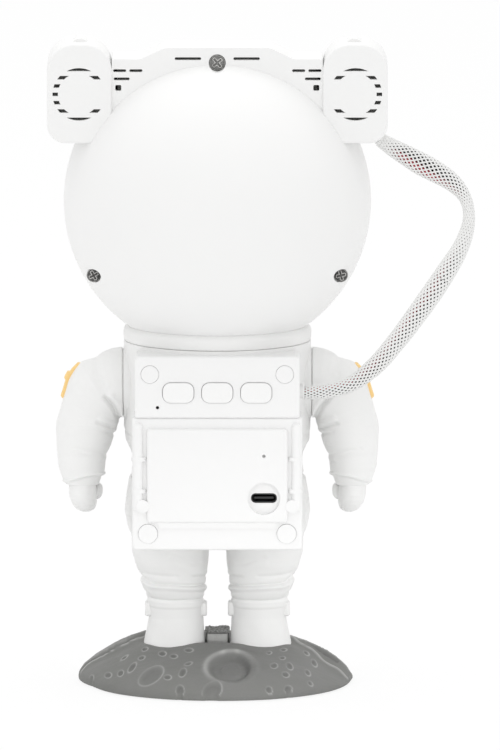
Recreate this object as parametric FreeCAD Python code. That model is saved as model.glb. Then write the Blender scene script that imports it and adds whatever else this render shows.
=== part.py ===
import FreeCAD, Part
import math
import os

from FreeCAD import Vector

# Astronaut night-light projector: a standing figure on a rock base whose ball-shaped helmet
# sits in a magnetic neck dish and holds the projection mechanism.
# Millimetres, +Z up. The origin is the middle of the base's underside. The helmet's visor and
# the beam point along +Y, and the backpack with its buttons is on the -Y side.

os.makedirs("parts", exist_ok=True)

X = Vector(1, 0, 0)
Y = Vector(0, 1, 0)
Z = Vector(0, 0, 1)

# ---- helmet
HELMET_Z = 171.0          # centre of the ball
HELMET_R = 54.2
HELMET_WALL = 2.4
PARTING_Y = 4.0           # plane where the rear shell meets the front shell
CENTRE = Vector(0, 0, HELMET_Z)
SCREW_X = 43.5            # the two recessed screws low on the rear shell
SCREW_Z = 147.1
WELL_R = 2.6
WELL_FLOOR_Y = -19.6
SCREW_BOSS_R = 3.6
SHANK_R = 1.1
BAND_SCREW_Z = 222.3      # the wider screw at the middle of the headband
BAND_SCREW_R = 2.85
BAND_WELL_R = 3.0
BAND_WELL_DEPTH = 1.4

# ---- visor and optics
VISOR_W = 84.0
VISOR_H = 64.0
VISOR_WALL = 1.8
VISOR_BULGE = 3.4         # how far the visor's dome stands in front of the helmet's own
BEAM_Z = HELMET_Z - 3.0   # the projection lens sits a little below the centre
LENS_R = 9.6
BARREL_R = 11.0
PLATE_Y = 16.0            # rear face of the optical bracket
PLATE_T = 2.0
PLATE_R = 44.0
LAMP_Y = 6.0              # front face of the heat sink
SINK_HALF = 10.5
POST_REACH = 41.0         # distance of the bracket's posts from the middle
FINS = 7
FIN_T = 1.2

# ---- gears: ripple disc, motor pinion and grating gear lie in one plane
MODULE = 0.8
DISC_TEETH = 50
PINION_TEETH = 12
GRATING_TEETH = 20
GEAR_Y = 20.0
GEAR_T = 2.4
RIM_BORE = 17.6           # inside of the disc's toothed rim
BACKLASH = 0.15           # added to each centre distance
DISC_X = -12.0
DISC_Z = HELMET_Z + 3.0
PINION_ANGLE = 225.0      # direction from the disc's centre to the pinion
TOOTH_STEP = 360.0 / DISC_TEETH
GRATING_ANGLE = PINION_ANGLE + 21 * TOOTH_STEP

# ---- headband and ear modules
BAND_REAR = -19.5
BAND_FRONT = 2.0
BAND_TOP = 227.5
BAND_SHOULDER = 223.5
BAND_WALL = 2.0
EAR_X = 48.5
EAR_HALF = 11.4
EAR_LOW = 193.9
EAR_HIGH = 229.0
EAR_REAR = -21.0
EAR_FRONT = 4.0
EAR_WALL = 2.0
GRILLE_Z = 211.3
GRILLE_R = 9.3
GRILLE_INNER_R = 7.4
MESH_R = 9.2
MESH_T = 0.6
SLOT_H = 1.3
SLOT_PITCH = 2.95
EAR_EXIT = Vector(57.7, -9.2, 194.2)   # where the cable leaves the right ear's lower corner

# ---- torso
TORSO_LOW = 51.7
TORSO_HIGH = 121.8
TORSO_WALL = 2.2
NECK_R = 33.0
SEAT_R = HELMET_R + 0.3   # the dish clears the ball by 0.3
SEAT_LIP_R = 31.4
MAGNET_R = 12.0
MAGNET_FLOOR = 112.0
MAGNET_H = 4.0
DISH_UNDER = 120.6        # underside of the dish outside this radius
DISH_FOOT_R = 25.0
SHOULDER_Z = 106.3
SHOULDER_X = 33.2         # outer face of the shoulder boss
SHOULDER_R = 12.8
ARM_GAP = 0.3
PEG_R = 4.0
PEG_FIT = 0.05
PEG_FLANGE = 2.6
BOSS_DEPTH = 5.2
HIP_R = 30.4
CHEST_Z = 92.0

# ---- arms
ARMPIT = Vector(SHOULDER_X + ARM_GAP, 0, 92.2)   # the arm bends about this corner
ARMPIT_R = 1.3
BEND_STEPS = 6
BICEP_R = 11.2
# below the bend: centre x, centre z and radius, with a crease at the elbow
FOREARM = [(46.6, 88.8, 10.9), (46.9, 86.0, 10.2), (47.0, 84.6, 9.7), (47.6, 83.2, 9.9),
           (48.2, 79.6, 9.2), (48.2, 77.2, 8.9), (47.9, 73.4, 8.2), (47.6, 71.0, 7.0)]
HAND = Vector(47.0, 0.6, 66.4)
THUMB = Vector(41.8, 4.4, 65.0)
THUMB_RISE = Vector(0.9, -0.2, 4.4)
THUMB_R = 2.2
PATCH_T = 1.9
PATCH_MIDDLE = Vector(52.4, 4.2, 107.4)
PATCH_LEAN = 61.0         # how far the patch leans from level
PATCH_HALF_Y = 5.4
PATCH_HALF_Z = 7.3
STUD = Vector(53.6, 0.4, 109.6)
STUD_R = 1.5

# ---- backpack
PACK_SEAT = -19.0         # how deep the covers reach into the torso
PACK_WALL = 2.0
UPPER_HALF = 29.0
UPPER_LOW = 98.6
UPPER_HIGH = 120.4
UPPER_REAR = -36.6
LOWER_HALF = 29.9
LOWER_LOW = 51.5
LOWER_REAR = -35.6
PANEL_HALF = 24.8
PANEL_LOW = 61.4
PANEL_HIGH = 94.8
PANEL_REAR = -37.4
UPPER_COVER = (23.7, 114.1, 3.1)   # x, z and radius of the plugs over the pack's screws
LOWER_COVER = (24.4, 57.4, 3.4)
CANISTER_X = 27.8         # slim canister beside the panel
CANISTER_R = 1.7
CANISTER_LOW = 66.0
CANISTER_HIGH = 95.2
RING_X = 27.4
RING_R = 2.6
RING_T = 1.4
RING_HEIGHTS = (71.9, 83.3)
VALVE = (26.3, 67.3, 2.3) # x, z and radius of the round valve under each canister
BUTTON_X = 13.7
BUTTON_Z = 107.6
BUTTON_W = 10.6
BUTTON_H = 6.8
BUTTON_R = 2.6
BUTTON_GAP = 0.3
POST_END = UPPER_REAR + PACK_WALL + 4.4   # how far in a button's post reaches
SENSOR = (-21.0, 102.3)   # pinhole beside the left button
LAMP_Z = 85.2             # pinhole above the charging socket
PINHOLE_R = 0.6
USB_X = 16.4
USB_Z = 70.1
USB_SHELL_W = 8.94        # standard receptacle
USB_SHELL_H = 3.26
USB_MOUTH_W = 8.34
USB_MOUTH_H = 2.56
USB_RECESS_R = 5.7
GLAND_Y = -27.0
GLAND_Z = 107.2

# ---- legs and base
LEG_X = 15.6
BOOT_TOP = 23.0
BOOT_LOW = 11.0
BASE_LOW = 0.4            # the rock's rim clears the table; the pad carries the weight
ROCK_R = 49.6             # the dome in plan
ROCK_SHIFT = Vector(-0.6, -2.0, 0)
RIM_H = 2.6
ROCK_TOP = 13.7
ROCK_STEPS = 7
# raised banks along the back: x, y and height of the crest, from left to right
LEFT_BANK = [(-49.6, -1.0, 3.6), (-46.8, 2.0, 6.5), (-40.8, 4.0, 10.4), (-36.2, 5.0, 12.3),
             (-25.6, 8.0, 16.4), (-16.0, 9.0, 16.0), (-2.0, 9.0, 13.0)]
RIGHT_BANK = [(2.0, 9.0, 13.0), (16.0, 9.0, 14.6), (25.8, 9.0, 14.3), (32.3, 8.0, 12.8),
              (39.7, 6.0, 9.9), (45.0, 3.0, 5.6), (48.4, 0.0, 2.8)]
BANK_FRONT = 14.0
BANK_CREST = 5.0
BANK_BACK = 26.0
# bowls in the dome: x, y and radius; the depth follows from the radius
CRATERS = [(4.6, -37.0, 8.4), (-23.3, -39.2, 3.6), (-1.8, -48.6, 3.0), (-13.1, -47.2, 1.6),
           (24.9, -43.0, 1.6), (20.0, 33.0, 5.2), (-24.0, 33.0, 3.6)]
BOULDER = [(-4.2, 9.0), (4.2, 9.0), (4.6, 17.8), (-4.6, 17.8)]
PAD_R = 43.6
PAD_T = 1.0
PLATE_TOP = 2.2
SCREW_HEAD_R = 2.3
SCREW_SEAT_Z = 4.2
SCREW_PLACES = [(-LEG_X, -4), (-LEG_X, 10), (LEG_X, -4), (LEG_X, 10)]

# ---- cable
CABLE_D = 4.8
ROUTE = [(57.7, -9.2, 194.2), (66.0, -10.3, 188.3), (75.4, -11.6, 183.3), (83.0, -12.8, 178.7),
         (87.9, -13.9, 172.3), (89.6, -15.2, 164.2), (86.6, -16.8, 154.2), (80.8, -18.5, 143.5),
         (72.8, -20.4, 132.2), (64.8, -22.4, 121.6), (54.6, -24.9, 112.3), (43.0, GLAND_Y, GLAND_Z),
         (31.4, GLAND_Y, GLAND_Z)]


# ---------------------------------------------------------------- helpers
def box(x0, x1, y0, y1, z0, z1):
    return Part.makeBox(x1 - x0, y1 - y0, z1 - z0, Vector(x0, y0, z0))


def rod(start, axis, radius, length):
    return Part.makeCylinder(radius, length, start, axis)


def ball(centre, radius):
    return Part.makeSphere(radius, centre)


def corner(before, at, after, radius):
    """Two tangent points and the middle of the arc that rounds one corner."""
    back = (before - at).normalize()
    on = (after - at).normalize()
    half = back.getAngle(on) / 2
    inward = (back + on).normalize()
    centre = at + inward * (radius / math.sin(half))
    cut = radius / math.tan(half)
    return at + back * cut, centre - inward * radius, at + on * cut


def rounded_loop(points, radii):
    """A closed wire through the points with each corner rounded."""
    edges = []
    count = len(points)
    arcs = []
    for i in range(count):
        arcs.append(corner(points[i - 1], points[i], points[(i + 1) % count], radii[i]))
    for i in range(count):
        first, middle, last = arcs[i]
        edges.append(Part.Arc(first, middle, last).toShape())
        following = arcs[(i + 1) % count][0]
        if (following - last).Length > 1e-6:
            edges.append(Part.LineSegment(last, following).toShape())
    return Part.Wire(edges)


def plate_y(outline, radii, y0, y1):
    """An outline in X and Z, with rounded corners, carried from y0 to y1."""
    points = [Vector(x, y0, z) for x, z in outline]
    face = Part.Face(rounded_loop(points, radii))
    return face.extrude(Vector(0, y1 - y0, 0))


def pad_y(x, z, width, height, radius, y0, y1):
    """A rounded rectangle centred on x and z, carried from y0 to y1."""
    outline = [(x - width / 2, z - height / 2), (x + width / 2, z - height / 2),
               (x + width / 2, z + height / 2), (x - width / 2, z + height / 2)]
    return plate_y(outline, [radius] * 4, y0, y1)


def turned(profile):
    """A solid turned about the vertical through the origin from a list of edges in X and Z."""
    wire = Part.Wire(profile)
    return Part.Face(wire).revolve(Vector(0, 0, 0), Z, 360)


def lines(points):
    """Straight edges through (radius, height) pairs."""
    vectors = [Vector(r, 0, z) for r, z in points]
    return [Part.LineSegment(a, b).toShape() for a, b in zip(vectors, vectors[1:])]


def curve(points):
    """One smooth edge through (radius, height) pairs."""
    spline = Part.BSplineCurve()
    spline.interpolate([Vector(r, 0, z) for r, z in points])
    return spline.toShape()


def mirrored(shape):
    """The same piece on the other side of the figure."""
    return shape.mirror(Vector(0, 0, 0), X)


def group(solids):
    return Part.makeCompound(solids)


def save(name, shape):
    if not shape.isValid():
        print("INVALID", name)
    shape.exportStep("parts/%s.step" % name)
    print("%-18s solids %2d volume %9.1f faces %d"
          % (name, len(shape.Solids), shape.Volume, len(shape.Faces)))


# ---------------------------------------------------------------- base
def rock_height(x, y):
    """Height of the dome's skin above a place in plan."""
    share = math.hypot(x - ROCK_SHIFT.x, y - ROCK_SHIFT.y) / ROCK_R
    return RIM_H + (ROCK_TOP - RIM_H) * math.sqrt(1 - share ** 2)


def rock_dome():
    """A low dome in broad facets over a short upright rim."""
    outline = [(0, BASE_LOW), (ROCK_R, BASE_LOW)]
    for step in range(ROCK_STEPS + 1):
        turn = math.pi / 2 * step / ROCK_STEPS
        outline.append((ROCK_R * math.cos(turn), RIM_H + (ROCK_TOP - RIM_H) * math.sin(turn)))
    outline[-1] = (0, ROCK_TOP)
    dome = turned(lines(outline + outline[:1]))
    dome.translate(ROCK_SHIFT)
    return dome


def bank(crest):
    """A raised bank: steep in front of its crest line, with a long fall behind."""
    low = RIM_H - 1.0
    loops = []
    for x, y, z in crest:
        corners = [Vector(x, y - BANK_FRONT, low), Vector(x, y, z),
                   Vector(x, y + BANK_CREST, z - 0.6), Vector(x, y + BANK_BACK, low)]
        loops.append(Part.makePolygon(corners + corners[:1]))
    return Part.makeLoft(loops, True, True)


def crater(x, y, radius):
    """The ball whose cap hollows out one bowl."""
    depth = 0.36 * radius
    bowl = (radius * radius + depth * depth) / (2 * depth)
    out = Vector(rock_height(x - 1, y) - rock_height(x + 1, y),
                 rock_height(x, y - 1) - rock_height(x, y + 1), 2).normalize()
    return ball(Vector(x, y, rock_height(x, y)) + out * (bowl - depth), bowl)


def rock_base(boots):
    """Rock dome with banks along its back, pitted with craters, and a squared boulder."""
    rock = rock_dome()
    outline = rod(ROCK_SHIFT + Z * BASE_LOW, Z, ROCK_R, 30)
    for crest in (LEFT_BANK, RIGHT_BANK):
        rock = rock.fuse(bank(crest).common(outline))
    for x, y, radius in CRATERS:
        rock = rock.cut(crater(x, y, radius))

    # squared boulder between the heels, with a notched top
    boulder = plate_y(BOULDER, [0.6] * 4, -4, 10)
    boulder = boulder.cut(rod(Vector(-1.4, -6, 18.6), Y, 1.5, 18))
    boulder = boulder.cut(rod(Vector(2.2, -6, 18.9), Y, 1.6, 18))
    rock = rock.fuse(boulder)

    for boot in boots:
        rock = rock.cut(boot)
    rock = rock.cut(rod(Vector(0, 0, 0), Z, PAD_R + 0.2, PLATE_TOP))
    for x, y in SCREW_PLACES:
        rock = rock.cut(rod(Vector(x, y, 0), Z, SHANK_R, BOOT_LOW))
        rock = rock.cut(rod(Vector(x, y, 0), Z, SCREW_HEAD_R + 0.2, SCREW_SEAT_Z))
    return rock


def base_plate():
    """Cover under the rock, with clearance for the four screws."""
    plate = rod(Vector(0, 0, PAD_T), Z, PAD_R, PLATE_TOP - PAD_T)
    for x, y in SCREW_PLACES:
        plate = plate.cut(rod(Vector(x, y, 0), Z, SCREW_HEAD_R + 0.2, 3))
    return plate


def base_screws():
    """Four screws up through the rock into the boots."""
    screws = []
    low = SCREW_SEAT_Z - 1.8
    for x, y in SCREW_PLACES:
        head = rod(Vector(x, y, low), Z, SCREW_HEAD_R, 1.8)
        shank = rod(Vector(x, y, SCREW_SEAT_Z), Z, SHANK_R - 0.05, 14.8)
        cross = box(x - 1.4, x + 1.4, y - 0.3, y + 0.3, low, low + 0.8)
        cross = cross.fuse(box(x - 0.3, x + 0.3, y - 1.4, y + 1.4, low, low + 0.8))
        screws.append(head.fuse(shank).cut(cross))
    return group(screws)


def foot_pad():
    """Non-slip pad glued under the base plate."""
    return rod(Vector(0, 0, 0), Z, PAD_R - 0.6, PAD_T)


# ---------------------------------------------------------------- legs
def boot_loop(z, width, length, shift, radius):
    half = width / 2
    points = [Vector(-half, shift - length / 2, z), Vector(half, shift - length / 2, z),
              Vector(half, shift + length / 2, z), Vector(-half, shift + length / 2, z)]
    return rounded_loop(points, [radius] * 4)


def leg():
    """Right leg: a gathered trouser over a boot that flares to its sole."""
    folds = [(13.0, TORSO_LOW, 13.5), (11.4, 40.2, 12.0), (11.0, 37.6, 11.4), (10.4, 35.2, 11.1),
             (9.9, 30.6, 10.4), (9.6, 28.2, 9.9), (9.6, BOOT_TOP, None)]
    edges = lines([(0, BOOT_TOP), (0, TORSO_LOW), (13.0, TORSO_LOW)])
    for (r0, z0, bulge), (r1, z1, _) in zip(folds, folds[1:]):
        middle = Vector(bulge, 0, (z0 + z1) / 2)
        edges.append(Part.Arc(Vector(r0, 0, z0), middle, Vector(r1, 0, z1)).toShape())
    edges += lines([(9.6, BOOT_TOP), (0, BOOT_TOP)])
    trouser = turned(edges)

    loops = [boot_loop(BOOT_TOP, 19.2, 19.2, 0.0, 9.4), boot_loop(18.0, 19.8, 22.0, 1.0, 9.6),
             boot_loop(14.0, 21.8, 27.6, 3.0, 10.2)]
    upper = Part.makeLoft(loops, True, False)
    sole = Part.Face(boot_loop(BOOT_LOW, 22.4, 28.8, 3.4, 10.6)).extrude(Vector(0, 0, 3.0))

    strap = rod(Vector(0, 0, 24.4), Z, 10.5, 3.4)
    for side in (-1, 1):
        strap = strap.fuse(box(min(side * 8, side * 11.3), max(side * 8, side * 11.3),
                               -3.4, 3.4, 23.1, 28.0))
    limb = trouser.fuse([upper, sole, strap]).removeSplitter()
    for y in (-4, 10):
        limb = limb.cut(rod(Vector(0, y, BOOT_LOW), Z, SHANK_R, 8.2))
    limb.translate(Vector(LEG_X, 0, 0))
    return limb


def boot_print():
    """The sole's outline, as the pocket that it stands in."""
    sole = Part.Face(boot_loop(BOOT_LOW, 22.4, 28.8, 3.4, 10.6)).extrude(Vector(0, 0, 9.0))
    sole.translate(Vector(LEG_X, 0, 0))
    return sole


# ---------------------------------------------------------------- torso
def torso_solid(inset):
    """The body's outside, or its inside when inset by the wall."""
    side = [(HIP_R, TORSO_LOW + inset), (32.4, 56.0), (33.0, 61.0), (31.9, 67.0), (30.9, 74.0),
            (31.1, 81.0), (32.6, 88.0), (33.1, 95.0), (33.2, 104.0), (NECK_R, TORSO_HIGH)]
    side = [(r - inset, z) for r, z in side]
    edges = lines([(side[-1][0], TORSO_HIGH), (0, TORSO_HIGH), (0, side[0][1]), side[0]])
    return turned(edges + [curve(side)])


def torso_shell():
    body = torso_solid(0).cut(torso_solid(TORSO_WALL))
    for side in (-1, 1):
        face = Vector(side * SHOULDER_X, 0, SHOULDER_Z)
        boss = rod(face, X * -side, SHOULDER_R, BOSS_DEPTH)
        body = body.fuse(boss)
        body = body.cut(rod(face + X * side, X * -side, PEG_R + PEG_FIT, 10))
    return body


def pack_block(half, low, high, rear):
    return box(-half, half, rear, PACK_SEAT, low, high)


def torso_halves():
    """Rear half, open where the backpack covers go in, and front half."""
    shell = torso_shell()
    rear = shell.common(box(-60, 60, -60, 0, 40, 130))
    rear = rear.cut(pack_block(UPPER_HALF, UPPER_LOW, UPPER_HIGH, -60))
    rear = rear.cut(pack_block(LOWER_HALF, LOWER_LOW, UPPER_LOW, -60))
    front = shell.common(box(-60, 60, 0, 60, 40, 130))
    return rear, front


def neck_collar():
    """Ring on the torso's rim, carrying the dish that the helmet rests in."""
    lip_z = HELMET_Z - math.sqrt(SEAT_R ** 2 - SEAT_LIP_R ** 2)
    pocket = MAGNET_R + 0.3
    pocket_z = HELMET_Z - math.sqrt(SEAT_R ** 2 - pocket ** 2)
    middle_r = (SEAT_LIP_R + pocket) / 2
    middle_z = HELMET_Z - math.sqrt(SEAT_R ** 2 - middle_r ** 2)
    spigot = NECK_R - TORSO_WALL - 0.5
    bowl = Part.Arc(Vector(pocket, 0, pocket_z), Vector(middle_r, 0, middle_z),
                    Vector(SEAT_LIP_R, 0, lip_z)).toShape()
    edges = lines([(SEAT_LIP_R, lip_z), (32.6, 126.0), (33.2, 124.6), (NECK_R, TORSO_HIGH),
                   (spigot, TORSO_HIGH), (spigot, DISH_UNDER), (DISH_FOOT_R, DISH_UNDER),
                   (pocket + 1.8, 114.0),
                   (pocket + 1.8, MAGNET_FLOOR - 1.6), (0, MAGNET_FLOOR - 1.6),
                   (0, MAGNET_FLOOR), (pocket, MAGNET_FLOOR), (pocket, pocket_z)])
    return turned(edges + [bowl])


def chest_pack():
    """Control box moulded for the chest: a tray with two knobs and a slide."""
    tray = pad_y(0, CHEST_Z, 32.0, 21.0, 2.6, 30.0, 39.0)
    tray = tray.cut(pad_y(0, CHEST_Z, 26.0, 15.0, 1.6, 38.0, 40.0))
    for x in (-8.0, 8.0):
        tray = tray.fuse(rod(Vector(x, 37.0, CHEST_Z + 2.0), Y, 3.0, 2.6))
    tray = tray.fuse(pad_y(0, CHEST_Z - 3.6, 14.0, 3.0, 1.2, 37.0, 39.2))
    return tray.cut(torso_solid(0))


# ---------------------------------------------------------------- backpack
def upper_cover():
    """Upper cover with three button windows, a sensor hole and the cable's hole."""
    outline = [(-UPPER_HALF, UPPER_LOW), (UPPER_HALF, UPPER_LOW),
               (UPPER_HALF, UPPER_HIGH), (-UPPER_HALF, UPPER_HIGH)]
    cover = plate_y(outline, [0.8, 0.8, 1.6, 1.6], UPPER_REAR, PACK_SEAT)
    rim = [edge for edge in cover.Edges if edge.BoundBox.YMax < UPPER_REAR + 0.01]
    cover = cover.makeFillet(0.9, rim)
    cover = cover.cut(box(PACK_WALL - UPPER_HALF, UPPER_HALF - PACK_WALL, UPPER_REAR + PACK_WALL,
                          0, UPPER_LOW + PACK_WALL, UPPER_HIGH - PACK_WALL))
    cover = cover.cut(rod(Vector(0, 0, UPPER_LOW + PACK_WALL), Z, DISH_FOOT_R + 0.2, 30))
    for x in (-BUTTON_X, 0, BUTTON_X):
        cover = cover.cut(pad_y(x, BUTTON_Z, BUTTON_W + 2 * BUTTON_GAP,
                                BUTTON_H + 2 * BUTTON_GAP, BUTTON_R + BUTTON_GAP, -40, -30))
    cover = cover.cut(rod(Vector(SENSOR[0], -40, SENSOR[1]), Y, PINHOLE_R, 10))
    x, z, radius = UPPER_COVER
    for side in (-1, 1):
        cover = cover.cut(rod(Vector(side * x, -40, z), Y, radius + 0.1, 41 + UPPER_REAR))
    return cover.cut(rod(Vector(20, GLAND_Y, GLAND_Z), X, 2.6, 20))


def canister(side):
    """Half-sunk canister with two rings, over a round valve."""
    x = side * CANISTER_X
    tank = rod(Vector(x, LOWER_REAR, CANISTER_LOW), Z, CANISTER_R, CANISTER_HIGH - CANISTER_LOW)
    tank = tank.fuse(ball(Vector(x, LOWER_REAR, CANISTER_HIGH), CANISTER_R))
    for z in RING_HEIGHTS:
        tank = tank.fuse(rod(Vector(side * RING_X, LOWER_REAR + 0.8, z), Z, RING_R, RING_T))
    x, z, radius = VALVE
    return tank.fuse(rod(Vector(side * x, LOWER_REAR - 1.9, z), Y, radius, 3.0))


def lower_cover():
    """Lower cover with a side canister moulded down each edge and a ledge for the panel."""
    outline = [(-LOWER_HALF, LOWER_LOW), (LOWER_HALF, LOWER_LOW),
               (LOWER_HALF, UPPER_LOW), (-LOWER_HALF, UPPER_LOW)]
    cover = plate_y(outline, [1.6, 1.6, 0.8, 0.8], LOWER_REAR, PACK_SEAT)
    rim = [edge for edge in cover.Edges if edge.BoundBox.YMax < LOWER_REAR + 0.01]
    cover = cover.makeFillet(0.9, rim)
    ledge = plate_y([(-20.0, 59.4), (20.0, 59.4), (21.8, 62.0), (-21.8, 62.0)],
                    [0.5] * 4, LOWER_REAR - 0.9, LOWER_REAR + 1)
    cover = cover.fuse(ledge)
    for side in (-1, 1):
        cover = cover.fuse(canister(side))
    cover = cover.cut(box(PACK_WALL - LOWER_HALF, LOWER_HALF - PACK_WALL, LOWER_REAR + PACK_WALL,
                          0, LOWER_LOW + PACK_WALL, UPPER_LOW - PACK_WALL))
    x, z, radius = LOWER_COVER
    for side in (-1, 1):
        cover = cover.cut(rod(Vector(side * x, -40, z), Y, radius + 0.1, 41 + LOWER_REAR))
    cover = cover.cut(pack_panel_body())
    return cover.cut(pad_y(USB_X, USB_Z, USB_SHELL_W + 0.2, USB_SHELL_H + 0.2, 1.6, -40, -25))


def pack_panel_body():
    outline = [(-PANEL_HALF, PANEL_LOW), (PANEL_HALF, PANEL_LOW),
               (PANEL_HALF, PANEL_HIGH), (-PANEL_HALF, PANEL_HIGH)]
    panel = plate_y(outline, [1.4] * 4, PANEL_REAR, LOWER_REAR)
    rim = [edge for edge in panel.Edges if edge.BoundBox.YMax < PANEL_REAR + 0.01]
    return panel.makeFillet(1.0, rim)


def pack_panel():
    """Raised panel with the opening round the charging socket and a pinhole lamp."""
    panel = pack_panel_body()
    panel = panel.cut(rod(Vector(USB_X, -40, USB_Z), Y, USB_RECESS_R, 10))
    return panel.cut(rod(Vector(USB_X, -40, LAMP_Z), Y, PINHOLE_R, 10))


def screw_covers():
    """Four round plugs over the backpack's screws."""
    plugs = []
    for (x, z, radius), rear, proud in ((UPPER_COVER, UPPER_REAR, 0.15),
                                        (LOWER_COVER, LOWER_REAR, 0.45)):
        for side in (-1, 1):
            start = Vector(side * x, rear - proud, z)
            plugs.append(rod(start, Y, radius, 1.0 + proud))
    return group(plugs)


def pack_screws():
    """Screws under the plugs, through the covers' floors."""
    screws = []
    for (x, z, _), rear in ((UPPER_COVER, UPPER_REAR), (LOWER_COVER, LOWER_REAR)):
        for side in (-1, 1):
            seat = Vector(side * x, rear + PACK_WALL, z)
            screws.append(rod(seat, Y, 1.0, 12.0).fuse(rod(seat, Y, 2.0, 0.8)))
    return group(screws)


def button():
    """Middle button: a cap in its window, a flange behind the wall and a post."""
    inner = UPPER_REAR + PACK_WALL
    cap = pad_y(0, BUTTON_Z, BUTTON_W, BUTTON_H, BUTTON_R, UPPER_REAR - 0.7, inner + 0.6)
    rim = [edge for edge in cap.Edges if edge.BoundBox.YMax < UPPER_REAR - 0.69]
    cap = cap.makeFillet(0.5, rim)
    flange = pad_y(0, BUTTON_Z, BUTTON_W + 1.8, BUTTON_H + 1.8, BUTTON_R, inner + 0.1, inner + 1.0)
    post = rod(Vector(0, inner + 0.9, BUTTON_Z), Y, 1.5, 3.5)
    return cap.fuse([flange, post])


def button_board():
    board = box(-21, 21, POST_END + 4.4, POST_END + 6.0, 101.5, 116.0)
    for x in (-18.5, 18.5):
        board = board.cut(rod(Vector(x, -40, 104.0), Y, 1.2, 30))
    return board


def tact_switches():
    """Three square switches with a ring round the well of the pressed post."""
    switches = []
    for x in (-BUTTON_X, 0, BUTTON_X):
        base = box(x - 3, x + 3, POST_END + 1.0, POST_END + 4.4, BUTTON_Z - 3, BUTTON_Z + 3)
        base = base.cut(rod(Vector(x, POST_END + 0.9, BUTTON_Z), Y, 2.0, 1.4))
        switches.append(base)
    return group(switches)


def usb_socket():
    """Charging receptacle: a steel shell round a thin tongue."""
    front = PANEL_REAR + 1.9
    shell = pad_y(USB_X, USB_Z, USB_SHELL_W, USB_SHELL_H, 1.55, front, front + 7.0)
    shell = shell.cut(pad_y(USB_X, USB_Z, USB_MOUTH_W, USB_MOUTH_H, 1.2, front - 1, front + 6.2))
    tongue = box(USB_X - 3.35, USB_X + 3.35, front + 1.0, front + 6.6, USB_Z - 0.35, USB_Z + 0.35)
    return shell.fuse(tongue)


def usb_board():
    """Charging board under the socket."""
    low = USB_Z - USB_SHELL_H / 2
    return box(USB_X - 7.5, USB_X + 7.5, LOWER_REAR + 3.0, LOWER_REAR + 13.0, low - 1.6, low)


def torso_gland():
    """Collar that grips the cable in the cover's side."""
    wall = UPPER_HALF - PACK_WALL
    collar = rod(Vector(UPPER_HALF, GLAND_Y, GLAND_Z), X, 3.4, 2.4)
    sleeve = rod(Vector(wall - 1.5, GLAND_Y, GLAND_Z), X, 2.55, UPPER_HALF - wall + 1.5)
    return collar.fuse(sleeve)


# ---------------------------------------------------------------- arms
def arm_rings():
    """Centre, radius and turn of each ring from the shoulder's disc to the cuff."""
    rings = []
    for i in range(BEND_STEPS + 1):
        turn = 90.0 * i / BEND_STEPS
        radius = SHOULDER_R + (BICEP_R - SHOULDER_R) * i / BEND_STEPS
        away = Vector(math.sin(math.radians(turn)), 0, math.cos(math.radians(turn)))
        rings.append((ARMPIT + away * (ARMPIT_R + radius), radius, turn))
    for x, z, radius in FOREARM:
        rings.append((Vector(x, 0, z), radius, 90.0))
    return rings


def arm_solid(extra):
    """Tapered spans from ring to ring; extra makes the outer side stand that much further out."""
    loops = []
    for centre, radius, turn in arm_rings():
        away = Vector(math.sin(math.radians(turn)), 0, math.cos(math.radians(turn)))
        ring = Part.Wire(Part.Circle(Vector(0, 0, 0), X, radius + extra / 2).toShape())
        ring.rotate(Vector(0, 0, 0), Y, turn)
        ring.translate(centre + away * (extra / 2))
        loops.append(ring)
    return Part.makeLoft(loops, True, True)


def sleeve():
    """Right arm: a bent sleeve from the shoulder's disc to the cuff."""
    return arm_solid(0)


def glove():
    """Mitten with a rounded palm and a thumb on its inner front side."""
    palm = ball(Vector(0, 0, 0), 1.0)
    stretch = FreeCAD.Matrix()
    stretch.scale(5.5, 6.6, 6.8)
    palm = palm.transformGeometry(stretch)
    palm.translate(HAND)
    wrist = rod(Vector(47.2, 0, 66.0), Z, 5.0, 5.2)
    digit = rod(THUMB, THUMB_RISE, THUMB_R, THUMB_RISE.Length)
    digit = digit.fuse([ball(THUMB, THUMB_R), ball(THUMB + THUMB_RISE, THUMB_R)])
    return palm.fuse([wrist, digit])


def patch(arm):
    """Raised bare plate with a small stud, on the outer front of the upper arm."""
    skin = arm_solid(PATCH_T)
    block = box(-8, 8, -PATCH_HALF_Y, PATCH_HALF_Y, -PATCH_HALF_Z, PATCH_HALF_Z)
    block = block.makeFillet(1.6, [e for e in block.Edges if e.BoundBox.XLength > 15])
    block.rotate(Vector(0, 0, 0), Y, PATCH_LEAN - 90)
    block.translate(PATCH_MIDDLE)
    return skin.common(block).fuse(ball(STUD, STUD_R)).cut(arm)


def peg():
    """Shoulder pin with the flange that keeps it in the torso."""
    outer = SHOULDER_X + ARM_GAP
    inner = SHOULDER_X - BOSS_DEPTH
    pin = rod(Vector(inner - 2.0, 0, SHOULDER_Z), X, PEG_R, outer - inner + 2.0)
    flange = rod(Vector(inner - 2.0, 0, SHOULDER_Z), X, PEG_R + PEG_FLANGE, 1.8)
    return pin.fuse(flange)


# ---------------------------------------------------------------- helmet
def visor_prism(grow, y0, y1):
    half_w = VISOR_W / 2 + grow
    half_h = VISOR_H / 2 + grow
    middle = HELMET_Z - 1.0
    outline = [(-half_w, middle - half_h), (half_w, middle - half_h),
               (half_w, middle + half_h), (-half_w, middle + half_h)]
    return plate_y(outline, [half_h * 0.82] * 4, y0, y1)


def ear_outline(inset):
    low = EAR_LOW + inset
    high = EAR_HIGH - inset
    half = EAR_HALF - inset
    outline = [(EAR_X - half, low), (EAR_X + half, low), (EAR_X + half, high), (EAR_X - half, high)]
    return outline, [3.0 - inset, 6.6 - inset, 9.6 - inset, 9.6 - inset]


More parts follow.
